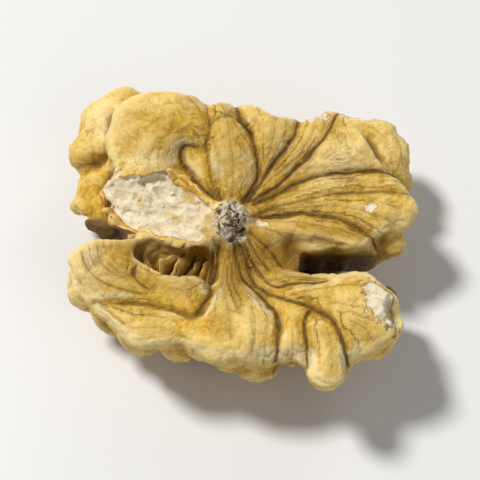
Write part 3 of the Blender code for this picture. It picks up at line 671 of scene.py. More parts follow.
def kernel_material():
    """Seed skin with veins, wrinkles, torn flesh and the scar, laid out by the kernel's attributes, with
    painted shade in hollows, clefts and the pocket and painted highlight on rims and ridges.
    """
    tint = colours()
    made, graph, shader, place = material("kernel_skin", 0.42)
    gap, reach, vein, strand, face, scar, torn, pocket, pale, deep, hollow, shade = (
        graph.attribute(name) for name in MARKS)
    step = graph.step

    # Streaks beside the veins
    streak_place = graph.xyz(gap * 4.6, reach * 1.5, strand * 5.0)
    streaks = graph.noise(streak_place, 1.0, 4, 0.6, 0.6)
    beside = step(gap, 3.0, 1.0, 0.15, 1.0) * step(vein, 0.1, 0.5, 0.2, 1.0)
    shown = face * step(graph.noise(place, STREAK_BREAKS, 2), 0.38, 0.62) * beside

    # Winding lines and crinkles
    lines = use_group(graph, "Fine lines", {"Place": place, "Scale": LINES, "Width": 0.012})["Mask"]
    small = use_group(graph, "Fine lines", {"Place": place, "Scale": SMALL_LINES, "Width": 0.016})["Mask"]
    lines = (lines + small * 0.5) * (1 - face * 0.75)
    crinkle = use_group(graph, "Fine lines", {"Place": place, "Scale": CRINKLES, "Width": 0.03})["Mask"]
    crinkle = crinkle * step(graph.noise(place, CRINKLE_PATCHES, 2), 0.42, 0.6)

    # The veins' dark lines, wider where a vein is stronger
    wide = graph.noise(place, VEIN_SWELLS, 2) * 0.2 + 0.02 + vein * 0.09
    line = step(gap / wide, 1.0, 0.35) * graph.math("MULTIPLY", vein, 1.3, clamp=True) ** 1.5

    # Torn flesh and the scar
    flesh = use_group(graph, "Torn flesh", {
        "Place": place, "Flesh": tint.flesh, "Warm": tint.flesh_warm_and_shade,
        # Painted shade: the flesh turns warmer in hollows and where the sky is hidden
        "Hollow": step(hollow, 0.2, 0.9, 0, 0.6) + step(shade, 0.3, 0.6, 0, 0.6),
    })
    open_flesh = step(torn, 0.3, 0.55)
    at_scar = step(scar, 0.15, 0.7)
    char = graph.noise(place, CHARRED, 4, 0.6, 1.0)

    skin = use_group(graph, "Mottled skin", {
        # Paleness carries the pale stretches and the rim: partly skin tone, partly painted highlight
        "Place": place, "Skin": tint.skin, "Pale": tint.skin_pale_and_highlight, "Deep": tint.skin_deep_and_shade, "Paleness": pale,
    })
    thin = step(graph.noise(place, THIN_SKIN), 0.36, 0.6, 0.25)
    colour = graph.cover(
        skin["Colour"],
        # Cream on the rims and pale stretches: partly thin skin, partly painted highlight
        (step(pale, 0.35, 0.95, 0, 0.75) * thin, tint.skin_cream_and_highlight),
        (step(streaks, 0.48, 0.34, 0, 0.4) * shown, tint.skin_deep_and_shade),
        (step(streaks, 0.53, 0.68, 0, 0.46) * shown, tint.skin_pale_and_highlight),
        (lines * 0.34, tint.skin_deep_and_shade),
        # Painted shade: darker where much of the sky is hidden from a point
        (step(shade, 0.14, 0.46, 0, 0.72), tint.skin_deep_and_shade),
        (step(shade, 0.36, 0.64, 0, 0.8), tint.vein),
        (crinkle * 0.2, tint.skin_deep_and_shade),
        # Painted shade in creases and painted highlight on ridges, from how hollow a point lies
        (step(hollow, 0.12, 0.75, 0, 0.85), tint.skin_deep_and_shade),
        (step(hollow, 0.55, 1.3, 0, 0.8), tint.vein),
        (step(hollow, -0.1, -0.6, 0, 0.5), tint.skin_pale_and_highlight),
        # Painted shade in broad valleys
        (deep, tint.skin_deep_and_shade),
        # Painted shade in the pocket, the cleft and the notch
        (pocket * 0.9, tint.skin_deep_and_shade),
        (step(pocket, 0.55, 1.0, 0, 0.88), tint.vein),
        (step(gap, 0.7, 0.08, 0, 0.42) * vein, tint.skin_deep_and_shade),
        (line * 0.86, tint.vein),
        (open_flesh, flesh["Colour"]),
        (step(torn, 0.06, 0.32, 0, 0.75) * step(torn, 0.72, 0.4), tint.skin_edge),
        (step(char, 0.38, 0.58) * at_scar, tint.scar_pale),
        (step(char, 0.56, 0.44) * at_scar, tint.scar),
    )
    rough_flesh = step(graph.math("MAXIMUM", open_flesh, scar), 0.0, 1.0, 0.0, 0.5)
    graph.put(shader["Roughness"], skin["Grain"] * 0.26 + 0.37 + rough_flesh)
    height = (skin["Grain"] * 0.7 + streaks * shown * 1.3 - lines * 0.12 - crinkle * 0.12 - line * 0.3
              + flesh["Height"] * open_flesh * 0.8)
    finish_flesh(graph, shader, colour, height, SKIN_BUMP)
    shader["Specular IOR Level"].default_value = 0.3
    shader["Subsurface Radius"].default_value = GLOW_COLOURS
    return made


def crumb_material():
    tint = colours()
    made, graph, shader, place = material("torn_flesh", 0.72)
    flesh = use_group(graph, "Torn flesh", {"Place": place, "Flesh": tint.flesh, "Warm": tint.flesh_warm_and_shade})
    finish_flesh(graph, shader, flesh["Colour"], flesh["Height"], FLESH_BUMP)
    return made


def skin_edge_material():
    """Thin curled skin: golden outside, orange brown where it is torn, darker with painted shade where it
    lies in the pocket.
    """
    tint = colours()
    made, graph, shader, place = material("curled_skin", 0.4)
    lip, pocket_shade, across, along = (graph.attribute(name) for name in ("lip", "pocket_shade", "across", "along"))
    skin = use_group(graph, "Mottled skin", {
        "Place": place, "Skin": tint.skin, "Pale": tint.skin_pale_and_highlight, "Deep": tint.skin_edge,
        "Paleness": graph.step(lip, 0.72, 1.0, 0, 0.8),
    })
    threads = graph.noise(graph.xyz(across * 2.6, along * 0.4), 1.0, 4, 0.6, 0.6)
    threads = graph.step(threads, 0.5, 0.36) * graph.math("ADD", pocket_shade * 2.0, 0.3, clamp=True)
    colour = graph.cover(
        skin["Colour"],
        (graph.step(lip, 0.75, 0.2, 0, 0.85), tint.skin_edge),
        # Painted shade where the edge lies in the pocket
        (pocket_shade, tint.skin_deep_and_shade),
        (threads, tint.vein),
    )
    graph.put(shader["Base Color"], colour)
    bump(graph, shader, skin["Grain"], EDGE_BUMP)
    return made


def scar_material():
    """Dried fibres, from near black to pale grey brown."""
    tint = colours()
    made, graph, shader, place = material("scar_fibre", 0.75)
    tone = graph.noise(place, FIBRE_TONES, 3, 0.6)
    colour = graph.cover(
        tint.scar,
        (graph.step(tone, 0.4, 0.5), tint.flesh_warm_and_shade),
        (graph.step(tone, 0.52, 0.6), tint.scar_pale),
    )
    graph.put(shader["Base Color"], colour)
    bump(graph, shader, graph.noise(place, FIBRE_GRAIN), FIBRE_BUMP)
    return made


# The kernel's fine surface

REMESH_SMOOTH = 5       # rounds that take the solid's facets away
BROAD_ROUNDS = 40       # rounds of averaging that leave only the broad form
RIM_PALE = 1.0          # how pale the rolled rim of the face is painted: thin skin and painted highlight
HOLLOW_GAIN = 4.0       # how strongly hollows show as painted shade and ridges as painted highlight, for a millimetre of depth
SAG_PITCH = 3.0         # of the skin's sagging between the veins
SAG_HEIGHT = 0.22
WALL_SAG = 1.2          # how much more it sags on steep sides
CREASE_PITCH = 2.2      # of the thin creases in it
CREASE_SHARP = 7.0
CREASE_DEPTH = 0.10
SHARD_STEP = 0.2        # of torn flesh: how much whole shards, their tilt, fine crumbs and ridges count
SHARD_TILT = 0.4
SHARD_FINE = 0.14
SHARD_RIDGE = 0.42
SHARD_HEIGHT = 0.65
TEAR_RIM = 0.10         # height of the rim of skin round torn flesh
TEAR_RIM_AT = 0.12      # where it stands, as a share of the tear's mask
SCAR_PITCH = 0.55       # of the scar's lumps
SCAR_HEIGHT = 0.45

# Heights against the scar's, from where a mask sets in to where it is full
FACE_RISE = (-6.6, -4.4)
TEAR_RISE = (-3.6, -2.4)
RIM_RISE = (-2.6, -0.6)
PALE_RISE = (-8, -4)
SHADED_STRETCH_RISE = (-8, -5)

# Shade: rays from each point, how far they look, how high they start and rounds of averaging
SHADE_RAYS = 32
SHADE_REACH = 5
SHADE_LIFT = 0.15
SHADE_ROUNDS = 2


def fine_surface(node, grain):
    """A fine even mesh over the node's form, without its facets."""
    shape = bmesh.new()
    shape.from_mesh(node.data)
    bmesh.ops.remove_doubles(shape, verts=shape.verts, dist=1e-6)
    mesh = bpy.data.meshes.new("kernel_surface")
    shape.to_mesh(mesh)
    shape.free()
    obj = link("kernel_surface", mesh)
    remesh = obj.modifiers.new("even", "REMESH")
    remesh.mode = "VOXEL"
    remesh.voxel_size = grain
    relax = obj.modifiers.new("facets", "SMOOTH")
    relax.factor = 0.5
    relax.iterations = REMESH_SMOOTH
    return bake(obj)


def sharpen(mesh, relief):
    """Makes folds rounder and creases deeper, and returns how hollow each point lies in millimetres."""
    points = points_of(mesh)
    broad = spread(mesh, points, BROAD_ROUNDS)
    floor = points[:, 2].min()
    moved = points + (points - broad) * relief
    moved[:, 2] = np.maximum(moved[:, 2], floor)
    low, high = np.array(CAD_BOX[0]), np.array(CAD_BOX[1])
    set_points(mesh, np.clip(moved, low, high))
    hollow = np.einsum("ij,ij->i", broad - points, normals_of(mesh)) / MM
    return spread(mesh, hollow, 1)


def plan_of(mesh):
    """Places of the mesh's points in the face's plan, in millimetres from the scar."""
    return (points_of(mesh)[:, :2] - np.array(SCAR)[:2]) / MM


def tear_mask(mesh, face):
    """1 on torn flesh and 0 on skin, with a soft border about half a millimetre wide."""
    plan = plan_of(mesh)
    points = points_of(mesh) / MM
    height = points[:, 2]
    stray = rough(points, 1.3) * TEAR_RAGGED
    notches = rough(points, 0.5) * CHIP_RAGGED
    border = through([*TEAR, TEAR[0]], 0.3)
    gap = distance_to(border, plan)
    depth = np.where(inside(border, plan), gap, -gap) + stray
    torn = smooth_step(-0.25, 0.3, depth)
    for centre, radii, turn in CHIPS:
        edge = spot(plan, centre, radii, turn)
        drop = height[edge < 0.6].max() - height - CHIP_DROP
        edge = np.hypot(edge, np.clip(drop, 0, None) / CHIP_FADE) + stray * 0.6 + notches
        torn = np.maximum(torn, CHIP_TORN * smooth_step(1.06, 0.92, edge))
    return torn * face


def crumble(mesh, torn):
    """Sinks torn flesh below the skin and breaks it into shards that lie along the tear."""
    points = points_of(mesh)
    size = sizes().crumb
    lumps = np.zeros(len(points))
    for i in np.flatnonzero(torn > 0.02):
        x, y, z = points[i] / size
        place = Vector((TEAR_GRAIN * (x * TEAR_ALONG[0] + y * TEAR_ALONG[1]),
                        y * TEAR_ALONG[0] - x * TEAR_ALONG[1], z))
        place += noise.noise_vector(place * 0.7) * 0.6
        shard = noise.cell_vector(place * 1.1)
        _, cells = noise.voronoi(place)
        tilt = (place - Vector(cells[0])) @ (shard - Vector((0.5, 0.5, 0.5)))
        fine = noise.fractal(place * 3.1, 0.8, 2.1, 3)
        ridge = 1 - abs(noise.fractal(place * 1.1, 0.9, 2.0, 3)) * 3
        lumps[i] = (SHARD_STEP * noise.cell(cells[0] * 9.7) + SHARD_TILT * tilt + SHARD_FINE * fine
                    + SHARD_RIDGE * max(ridge, -0.6))
    lift = torn * (lumps * SHARD_HEIGHT * MM - sizes().tear_depth)
    rim = np.exp(-((torn - TEAR_RIM_AT) / TEAR_RIM_AT) ** 2) * TEAR_RIM * MM
    rim[torn < 0.005] = 0
    set_points(mesh, points + normals_of(mesh) * (lift + rim)[:, None])


def roughen_scar(mesh, scar):
    """Covers the scar with small sharp lumps."""
    points = points_of(mesh)
    push = np.zeros(len(points))
    for i in np.flatnonzero(scar > 0.02):
        near, _ = noise.voronoi(Vector(points[i]) / (SCAR_PITCH * MM))
        push[i] = near[1] - near[0] - 0.35
    set_points(mesh, points + normals_of(mesh) * (push * scar * SCAR_HEIGHT * MM)[:, None])


def wrinkle_skin(mesh):
    """Lets the skin sag and crease unevenly between the veins."""
    points, normals = points_of(mesh), normals_of(mesh)
    sag = rough(points, SAG_PITCH * MM)
    crease = 1 - np.abs(rough(points, CREASE_PITCH * MM, 2)) * CREASE_SHARP
    steep = smooth_step(0.6, 0.2, np.abs(spread(mesh, normals[:, 2], 8)))
    push = SAG_HEIGHT * sag * (1 + WALL_SAG * steep) - CREASE_DEPTH * np.clip(crease, 0, 1) ** 2
    above = smooth_step(0.0, SAG_HEIGHT, (points[:, 2] - points[:, 2].min()) / MM - SAG_HEIGHT)
    set_points(mesh, points + normals * (push * above * MM)[:, None])


def mark_surface(mesh):
    """Stores where the face, the tear and the scar are, and the masks of painted shade and highlight: the
    hollows, the darker and the pale stretches and the rim.
    """
    wrinkle_skin(mesh)
    hollow = sharpen(mesh, sizes().relief)
    plan = plan_of(mesh)
    height = (points_of(mesh)[:, 2] - SCAR.z) / MM
    up = spread(mesh, normals_of(mesh)[:, 2], 6)
    face = smooth_step(*FACE_RISE, height) * smooth_step(-0.1, 0.35, up)
    ragged = rough(points_of(mesh), 1.1 * MM) * SCAR_RAGGED
    scar = smooth_step(1.1, 0.75, spot(plan, *SCAR_SPOT) + ragged) * face
    torn = tear_mask(mesh, smooth_step(*TEAR_RISE, height + ragged * 3)) * (1 - scar)
    # Painted shade in the pocket, the cleft and the notch
    pocket = np.zeros(len(plan))
    for strength, reach, start, end, route in SHADED_HOLLOWS:
        near = smooth_step(reach * 1.25, reach * 0.5, distance_to(through(route, 0.3), plan))
        deepness = smooth_step(*start, height) * smooth_step(*end, height)
        pocket = np.maximum(pocket, strength * near * deepness)
    # Painted highlight on the sloping rim and in the pale stretches, partly the skin's own tone
    rim = smooth_step(0.92, 0.72, up) * smooth_step(0.1, 0.45, up) * smooth_step(*RIM_RISE, height)
    pale = np.maximum(stretches(PALE, plan) * smooth_step(*PALE_RISE, height), RIM_PALE * rim)
    # Painted shade in broad valleys between the lobes
    deep = stretches(SHADED_STRETCHES, plan) * smooth_step(*SHADED_STRETCH_RISE, height)
    crumble(mesh, torn)
    roughen_scar(mesh, scar)
    for name, values in (("face", face), ("scar", scar), ("torn", torn), ("pocket", pocket * (1 - torn)),
                         ("pale", pale), ("deep", deep), ("hollow", hollow * HOLLOW_GAIN)):
        store(mesh, name, values)


def vein_lines():
    """The veins' routes as lines at height 0, with their strength and number on each point."""
    mesh = bpy.data.meshes.new("vein_lines")
    verts, edges, strength, strand = [], [], [], []
    for number, (force, route) in enumerate(VEINS):
        path = through(route, VEIN_STEP)
        taper = np.clip(np.minimum(np.arange(len(path)), np.arange(len(path))[::-1]) / 4 + 0.35, 0, 1)
        edges += [(len(verts) + k, len(verts) + k + 1) for k in range(len(path) - 1)]
        verts += [(SCAR.x + x * MM, SCAR.y + y * MM, 0) for x, y in path]
        strength += list(force * taper)
        strand += [number] * len(path)
    mesh.from_pydata(verts, edges, [])
    store(mesh, "strength", strength)
    store(mesh, "strand", strand)
    return link("vein_lines", mesh)


def geometry_tree(name, inputs):
    """An empty tree's graph, its inputs as fields and its output node's sockets."""
    return node_group(name, "GeometryNodeTree", [("Geometry", GEOMETRY, None), *inputs,
                                                 ("Material", MATERIAL, None)], [("Geometry", GEOMETRY)])


def coloured_tree(graph, shape, given, out):
    """Ends a tree with real geometry in the given material."""
    real = graph.add("GeometryNodeRealizeInstances", "Geometry", {"Geometry": shape})
    graph.put(out["Geometry"], graph.add("GeometryNodeSetMaterial", "Geometry",
                                         {"Geometry": real, "Material": given["Material"]}))
    return graph.tree


def engraving_tree():
    """Presses a groove into the surface along each vein, with wrinkles that run beside it."""
    graph, given, out = geometry_tree("Vein engraving", [
        ("Veins", OBJECT, None), ("Depth", VALUE, 0.4 * MM), ("Width", VALUE, 0.3 * MM),
        ("Wrinkle", VALUE, 0.1 * MM), ("Wobble", VALUE, 0.1 * MM),
    ])
    lines = graph.add("GeometryNodeObjectInfo", "Geometry", {"Object": given["Veins"]})
    place = graph.add("GeometryNodeInputPosition", "Position")
    stray = graph.add("ShaderNodeTexNoise", "Color", {"Vector": place, "Scale": VEIN_STRAY, "Detail": 2.0})
    stray = graph.scaled(graph.vector("SUBTRACT", stray, (0.5, 0.5, 0.5)), given["Wobble"] * 4.0)
    flat = graph.vector("MULTIPLY", graph.vector("ADD", place, stray), (1, 1, 0))
    nearest = {"Geometry": lines, "Sample Position": flat}
    gap = graph.add("GeometryNodeProximity", "Distance", nearest, target_element="EDGES")
    index = graph.add("GeometryNodeSampleNearest", "Index", nearest, domain="POINT")

    def sampled(name):
        return graph.add("GeometryNodeSampleIndex", "Value",
                         {"Geometry": lines, "Value": graph.named(name), "Index": index}, domain="POINT")

    skin = graph.named("face") * (1 - graph.named("torn")) * (1 - graph.named("scar"))
    vein, strand = sampled("strength") * skin, sampled("strand")
    groove = graph.math("EXPONENT", (gap / given["Width"]) ** 2.0 * -1.0) * vein * given["Depth"]
    from_scar = graph.vector("LENGTH", graph.vector("SUBTRACT", flat, (SCAR.x, SCAR.y, 0)))
    gap_mm, reach_mm = gap / MM, from_scar / MM
    wrinkle = graph.noise(graph.xyz(gap_mm * 1.35, reach_mm * 0.22, strand * 3.7), 1.0, 2.0, 0.5) - 0.5
    away = graph.step(gap_mm, 0.2, 0.7) * graph.step(gap_mm, 4.0, 1.5, 0.25, 1.0)
    push = wrinkle * skin * (given["Wrinkle"] * 2.0) * away - groove
    shape = given["Geometry"]
    for name, value in (("gap", gap_mm), ("reach", reach_mm), ("vein", vein), ("strand", strand)):
        shape = graph.store(shape, name, value)
    offset = graph.scaled(graph.add("GeometryNodeInputNormal", "Normal"), push)
    shape = graph.add("GeometryNodeSetPosition", "Geometry", {"Geometry": shape, "Offset": offset})
    return coloured_tree(graph, shape, given, out)


def shade_tree():
    """Stores how much of the sky each point can't see, from rays sent out over its normal."""
    graph, given, out = geometry_tree("Shade", [
        ("Rays", WHOLE, 24), ("Reach", VALUE, 6 * MM), ("Lift", VALUE, 0.1 * MM),
    ])
    entry = graph.node("GeometryNodeRepeatInput")
    leave = graph.node("GeometryNodeRepeatOutput")
    entry.pair_with_output(leave)
    leave.repeat_items.new("FLOAT", "Hits")
    graph.put(entry.inputs["Iterations"], given["Rays"])
    graph.put(entry.inputs["Geometry"], given["Geometry"])
    normal = graph.add("GeometryNodeInputNormal", "Normal")
    place = graph.add("GeometryNodeInputPosition", "Position")
    stray = graph.add("FunctionNodeRandomValue", 0, {
        "Min": (-1, -1, -1), "Max": (1, 1, 1), "Seed": graph.out(entry, "Iteration"),
    }, data_type="FLOAT_VECTOR")
    hit = graph.node("GeometryNodeRaycast", {
        "Target Geometry": given["Geometry"],
        "Source Position": graph.vector("ADD", place, graph.scaled(normal, given["Lift"])),
        "Ray Direction": graph.vector("ADD", normal, graph.vector("NORMALIZE", stray)),
        "Ray Length": given["Reach"],
    })
    near = 1 - graph.out(hit, "Hit Distance") / given["Reach"]
    near = graph.out(hit, "Is Hit") * near ** 0.5
    kept = graph.node("GeometryNodeCaptureAttribute")
    kept.capture_items.new("FLOAT", "Hits")
    graph.put(kept.inputs["Geometry"], graph.out(entry, "Geometry"))
    graph.put(kept.inputs["Hits"], graph.out(entry, "Hits") + near)
    graph.put(leave.inputs["Geometry"], graph.out(kept, "Geometry"))
    graph.put(leave.inputs["Hits"], graph.out(kept, "Hits"))
    shape = graph.store(graph.out(leave, "Geometry"), "shade", graph.out(leave, "Hits") / given["Rays"])
    return coloured_tree(graph, shape, given, out)


def run_tree(obj, tree, inputs):
    """Gives the object a tree with these inputs and puts the result in its mesh."""
    modifier = obj.modifiers.new(tree.name, "NODES")
    modifier.node_group = tree
    for item in tree.interface.items_tree:
        if item.item_type == "SOCKET" and item.in_out == "INPUT" and item.name in inputs:
            modifier[item.identifier] = inputs[item.name]
    obj.update_tag()
    bake(obj)


class WALNUT_OT_kernel(Operator):
    """Makes the kernel's fine surface from its solid and engraves its veins."""

    bl_idname = "walnut.kernel"
    bl_label = "Kernel"

    def execute(self, context):
        size = sizes()
        obj = fine_surface(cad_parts["kernel"], size.grain)
        mark_surface(obj.data)
        veins = vein_lines()
        skin = kernel_material()
        run_tree(obj, engraving_tree(), {
            "Veins": veins, "Depth": size.vein_depth, "Width": size.vein_width, "Wrinkle": size.wrinkle,
            "Wobble": VEIN_WOBBLE * MM, "Material": skin,
        })
        bpy.data.objects.remove(veins, do_unlink=True)
        run_tree(obj, shade_tree(), {
            "Rays": SHADE_RAYS, "Reach": SHADE_REACH * MM, "Lift": SHADE_LIFT * MM, "Material": skin,
        })
        soften(obj.data, "shade", SHADE_ROUNDS)
        obj.data.name = "kernel_surface"
        obj.data.shade_smooth()
        finish_piece(obj)
        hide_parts("kernel")
        return {"FINISHED"}


# Small pieces on the surface

HALF_TURN = 3.14        # in radians
SIZE_SEED = 5           # of the copies' sizes
CRUMBS_OVER = 0.8       # where crumbs lie, against the tear's mask
FIBRES_OVER = 0.45      # where fibres stand, against the scar's mask
CRUMB_FLAT = 0.7        # a crumb's height against its width
FIBRE_THICK = 0.09      # shares of a fibre's length: its radius, how far it bends and how deep it is set
FIBRE_BEND = 0.28
FIBRE_SET = 0.25
FIBRE_TAPER = 0.8       # how much thinner its tip is


def scatter_tree(name, mask, low):
    """Copies of an object set on the surface where a mask is over a value, realised and coloured."""
    graph, given, out = geometry_tree(name, [
        ("Piece", OBJECT, None), ("Density", VALUE, 1.0), ("Smallest", VALUE, 0.4), ("Largest", VALUE, 1.0),
        ("Tilt", VALUE, 0.5), ("Seed", WHOLE, SEED), ("Sink", VALUE, 0.0),
    ])
    chosen = graph.math("GREATER_THAN", graph.named(mask), low)
    points = graph.node("GeometryNodeDistributePointsOnFaces", {
        "Mesh": given["Geometry"], "Density": chosen * given["Density"], "Seed": given["Seed"],
    })
    tilt = graph.add("FunctionNodeRandomValue", 0, {
        "Min": (-1, -1, -HALF_TURN), "Max": (1, 1, HALF_TURN), "Seed": given["Seed"],
    }, data_type="FLOAT_VECTOR")
    tilt = graph.vector("MULTIPLY", tilt, graph.xyz(given["Tilt"], given["Tilt"], 1.0))
    turn = graph.add("FunctionNodeRotateRotation", "Rotation", {
        "Rotation": graph.out(points, "Rotation"), "Rotate By": tilt,
    }, rotation_space="LOCAL")
    size = graph.add("FunctionNodeRandomValue", 1, {
        2: given["Smallest"], 3: given["Largest"], "Seed": SIZE_SEED,
    }, data_type="FLOAT")
    placed = graph.add("GeometryNodeInstanceOnPoints", "Instances", {
        "Points": graph.out(points, "Points"), "Rotation": turn, "Scale": size,
        "Instance": graph.add("GeometryNodeObjectInfo", "Geometry", {"Object": given["Piece"]}),
    })
    sunk = graph.add("GeometryNodeTranslateInstances", "Instances",
                     {"Instances": placed, "Translation": graph.xyz(z=given["Sink"])})
    return coloured_tree(graph, sunk, given, out)


def crumb_shape():
    """One angular crumb about a millimetre across."""
    mesh = bpy.data.meshes.new("crumb_shape")
    shape = bmesh.new()
    bmesh.ops.create_icosphere(shape, subdivisions=2, radius=0.5 * MM)
    for vert in shape.verts:
        facets, lumps = noise.cell(vert.co / (0.33 * MM)), noise.noise(vert.co / (0.5 * MM))
        vert.co *= 1 + facets * 0.35 + lumps * 0.5
        vert.co.z *= CRUMB_FLAT
    shape.to_mesh(mesh)
    shape.free()
    return link("crumb_shape", mesh)


def fibre_shape(length):
    """One bent tapering fibre, a few faces long."""
    rings, sides = 5, 5
    mesh = bpy.data.meshes.new("fibre_shape")
    verts, faces = [], []
    for ring in range(rings):
        share = ring / (rings - 1)
        radius = length * FIBRE_THICK * (1 - FIBRE_TAPER * share)
        bend = length * FIBRE_BEND * share ** 2
        for side in range(sides):
            angle = 2 * math.pi * side / sides
            aside, ahead = radius * math.cos(angle), radius * math.sin(angle)
            verts.append((bend + aside, ahead, length * (share - FIBRE_SET)))
    for ring in range(rings - 1):
        for side in range(sides):
            a, b = ring * sides + side, ring * sides + (side + 1) % sides
            faces.append((a, b, b + sides, a + sides))
    faces.append(tuple(range(sides))[::-1])
    faces.append(tuple(range((rings - 1) * sides, rings * sides)))
    mesh.from_pydata(verts, [], faces)
    return link("fibre_shape", mesh)


def area_over(mesh, mask, low):
    """Area of the faces whose mask is over a value, in square metres."""
    values = np.empty(len(mesh.vertices), np.float32)
    mesh.attributes[mask].data.foreach_get("value", values)
    return sum(face.area for face in mesh.polygons if values[face.vertices[0]] > low)


def scatter(name, mask, low, piece, count, inputs, surface_material):
    """A piece made of many small copies on the kernel's surface."""
    surface = bpy.data.objects["kernel_surface"].data
    obj = link(name, surface.copy())
    density = count / area_over(surface, mask, low)
    run_tree(obj, scatter_tree(name, mask, low), {
        "Piece": piece, "Density": density, "Material": surface_material, **inputs,
    })
    bpy.data.objects.remove(piece, do_unlink=True)
    obj.data.name = name
    for mark in MARKS:
        if mark in obj.data.attributes:
            obj.data.attributes.remove(obj.data.attributes[mark])
    obj.data.shade_smooth()
    finish_piece(obj)


class WALNUT_OT_crumbs(Operator):
    """Sticks crumbs of flesh on the torn patches."""

    bl_idname = "walnut.crumbs"
    bl_label = "Crumbs"

    def execute(self, context):
        scatter("flesh_crumbs", "torn", CRUMBS_OVER, crumb_shape(), sizes().crumb_count,
                {"Smallest": 0.25, "Largest": 0.6, "Tilt": 1.2, "Seed": SEED, "Sink": -0.1 * MM},
                crumb_material())
        return {"FINISHED"}


class WALNUT_OT_scar(Operator):
    """Stands dried fibres on the scar where the two lobes meet."""

    bl_idname = "walnut.scar"
    bl_label = "Scar"

    def execute(self, context):
        scatter("scar_fibres", "scar", FIBRES_OVER, fibre_shape(sizes().fibre), sizes().fibre_count,
                {"Smallest": 0.4, "Largest": 1.0, "Tilt": 0.75, "Seed": SEED + 1}, scar_material())
        return {"FINISHED"}


EDGE_STEP = 0.16        # distance between points along a curled edge
EDGE_POINTS = 9         # points across it
EDGE_SLOPE = 75         # degrees at which it leaves the surface
EDGE_SUNK = 0.25        # how deep its root lies, and how far beside the route
EDGE_ASIDE = 0.1
EDGE_RAGGED = 0.55      # how uneven its width and its curl are, as shares of them
EDGE_UNEVEN = 0.4


def surface_at(tree, place):
    """The highest point of the surface over a place in plan."""
    above = Vector((SCAR.x + place[0] * MM, SCAR.y + place[1] * MM, CAD_BOX[1].z + 0.01))
    return tree.ray_cast(above, Vector((0, 0, -1)))[0]


def curled_edge(tree, width, curl, route, draw):
    """Rows of points that leave the surface along a route and curl over."""
    path = through(route, EDGE_STEP)
    heading = np.gradient(path, axis=0)
    heading /= np.linalg.norm(heading, axis=1)[:, None]
    rows = []
    for k, (place, ahead) in enumerate(zip(path, heading)):
        along = k / (len(path) - 1)
        ends = min(1.0, 4 * along, 4 * (1 - along))
        ragged = 1 + EDGE_RAGGED * noise.noise(Vector((k * EDGE_STEP * 1.4, draw * 7.3, 0)))
        reach = width * (0.25 + 0.75 * ends) * ragged
        top = surface_at(tree, place)
        aside = Vector((ahead[1], -ahead[0], 0))
        uneven = 1 + EDGE_UNEVEN * noise.noise(Vector((k * EDGE_STEP, draw * 3.1, 5)))
        lift = math.radians(curl) * uneven
        point = top - Vector((0, 0, EDGE_SUNK * MM)) - aside * EDGE_ASIDE * MM
        row = []
        for j in range(EDGE_POINTS):
            share = j / (EDGE_POINTS - 1)
            angle = math.radians(EDGE_SLOPE) - lift * share
            row.append(point.copy())
            onward = aside * math.cos(angle) + Vector((0, 0, math.sin(angle)))
            point = point + onward * (reach * MM / (EDGE_POINTS - 1))
        rows.append(row)
    return rows


def edge_mesh(tree):
    """The curled edges as one mesh, with the place of each point on its edge and how much painted shade it
    has.
    """
    verts, faces, marks = [], [], {"lip": [], "across": [], "along": [], "pocket_shade": []}
    wide = EDGE_POINTS
    for number, (width, curl, pocket_shade, route) in enumerate(SKIN_EDGES):
        rows = curled_edge(tree, width, curl, route, number)
        for i in range(len(rows) - 1):
            first = len(verts) + i * wide
            faces += [(a, a + 1, a + wide + 1, a + wide) for a in range(first, first + wide - 1)]
        for k, row in enumerate(rows):
            verts += row
            marks["lip"] += [j / (wide - 1) for j in range(wide)]
            marks["across"] += [j * EDGE_STEP + 5 * pocket_shade for j in range(wide)]
            marks["along"] += [k * EDGE_STEP] * wide
            marks["pocket_shade"] += [pocket_shade] * wide
    mesh = bpy.data.meshes.new("skin_edges")
    mesh.from_pydata(verts, [], faces)
    for name, values in marks.items():
        store(mesh, name, values)
    return mesh


class WALNUT_OT_torn_skin(Operator):
    """Curls the torn skin up round the tear and the pocket."""

    bl_idname = "walnut.torn_skin"
    bl_label = "Torn skin"

    def execute(self, context):
        surface = bpy.data.objects["kernel_surface"]
        tree = BVHTree.FromPolygons([v.co for v in surface.data.vertices],
                                    [p.vertices for p in surface.data.polygons])
        mesh = edge_mesh(tree)
        mesh.materials.append(skin_edge_material())
        obj = link("skin_edges", mesh)
        thick = obj.modifiers.new("skin", "SOLIDIFY")
        thick.thickness = sizes().skin
        thick.offset = 0
        fine = obj.modifiers.new("smooth", "SUBSURF")
        fine.levels = fine.render_levels = 1
        bake(obj)
        obj.data.shade_smooth()
        finish_piece(obj)
        return {"FINISHED"}


# The stage. Each light has its place from the kernel, its width, its power and its colour.

FLOOR_SIDE = 3.0
SENSOR = 36
KEY_LIGHT = ((-0.42, 0.24, 0.72), 0.17, 7.3, (1.0, 0.985, 0.96))
FILL_LIGHT = ((0.55, -0.54, 0.55), 0.70, 1.3, (0.96, 0.98, 1.0))
RIM_LIGHT = ((0.48, 0.66, 0.36), 0.30, 1.0, (1.0, 1.0, 1.0))
SKY_STRENGTH = 0.2


def aim(obj, target):
    obj.rotation_euler = (target - obj.location).to_track_quat("-Z", "Y").to_euler()


def soft_light(name, place, side, power, colour, target):
    lamp = bpy.data.lights.new(name, "AREA")
    lamp.shape = "DISK"
    lamp.size = side
    lamp.energy = power
    lamp.color = colour
    obj = link(name, lamp)
    obj.location = target + Vector(place)
    aim(obj, target)


def floor_material():
    made, graph, shader, place = material("studio_floor", 0.3)
    tones = graph.noise(place, FLOOR_TONES, 2)
    graph.put(shader["Base Color"], graph.cover((0.77, 0.77, 0.765), (tones, (0.80, 0.80, 0.795))))
    return made


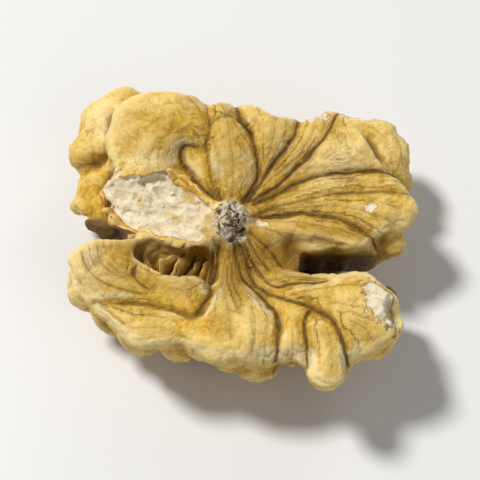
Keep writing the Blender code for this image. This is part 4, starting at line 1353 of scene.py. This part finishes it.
def lay_floor(height):
    mesh = bpy.data.meshes.new("floor")
    half = FLOOR_SIDE / 2
    corners = [(-half, -half, 0), (half, -half, 0), (half, half, 0), (-half, half, 0)]
    mesh.from_pydata(corners, [], [(0, 1, 2, 3)])
    mesh.materials.append(floor_material())
    floor = link("floor", mesh)
    floor.location.z = height


def light_sky(scene):
    world = bpy.data.worlds.new("studio")
    world.use_nodes = True
    background = world.node_tree.nodes["Background"].inputs
    background["Color"].default_value = (1, 1, 1, 1)
    background["Strength"].default_value = SKY_STRENGTH
    scene.world = world


def set_camera(scene, width, target):
    lens = bpy.data.cameras.new("camera")
    lens.lens = CAMERA_LENS
    lens.sensor_width = SENSOR
    lens.clip_start = 0.01
    camera = link("camera", lens)
    tilt = math.radians(CAMERA_ELEVATION)
    distance = width / KERNEL_SHARE * CAMERA_LENS / SENSOR
    camera.location = target + Vector((0, -math.cos(tilt), math.sin(tilt))) * distance
    aim(camera, target)
    scene.camera = camera
    scene.view_settings.view_transform = "Standard"


class WALNUT_OT_stage(Operator):
    """Sets the pale floor, the soft lights and the camera."""

    bl_idname = "walnut.stage"
    bl_label = "Stage"

    def execute(self, context):
        low, high = CAD_BOX
        middle = (low + high) / 2
        lay_floor(low.z)
        for name, light in (("key", KEY_LIGHT), ("fill", FILL_LIGHT), ("rim", RIM_LIGHT)):
            soft_light(name, *light, middle)
        light_sky(context.scene)
        set_camera(context.scene, high.x - low.x, middle)
        return {"FINISHED"}


class WALNUT_PT_panel(Panel):
    """Lists the steps that finish the kernel."""

    bl_label = "Walnut kernel"
    bl_idname = "WALNUT_PT_panel"
    bl_space_type = "VIEW_3D"
    bl_region_type = "UI"
    bl_category = "Walnut"

    def draw(self, context):
        for group in (context.scene.walnut_sizes, context.scene.walnut_colours):
            for name in group.bl_rna.properties.keys():
                if name not in ("rna_type", "name"):
                    self.layout.prop(group, name)
        for step in STEPS:
            self.layout.operator(step.bl_idname)


STEPS = (WALNUT_OT_kernel, WALNUT_OT_crumbs, WALNUT_OT_scar, WALNUT_OT_torn_skin, WALNUT_OT_stage)
CLASSES = (WalnutSizes, WalnutColours, *STEPS, WALNUT_PT_panel)


def register():
    for item in CLASSES:
        bpy.utils.register_class(item)
    bpy.types.Scene.walnut_sizes = PointerProperty(type=WalnutSizes)
    bpy.types.Scene.walnut_colours = PointerProperty(type=WalnutColours)


def unregister():
    del bpy.types.Scene.walnut_colours
    del bpy.types.Scene.walnut_sizes
    for item in reversed(CLASSES):
        bpy.utils.unregister_class(item)


def main():
    register()
    noise.seed_set(SEED)
    bpy.ops.walnut.kernel()
    bpy.ops.walnut.crumbs()
    bpy.ops.walnut.scar()
    bpy.ops.walnut.torn_skin()
    bpy.ops.walnut.stage()


if __name__ == "__main__":
    main()
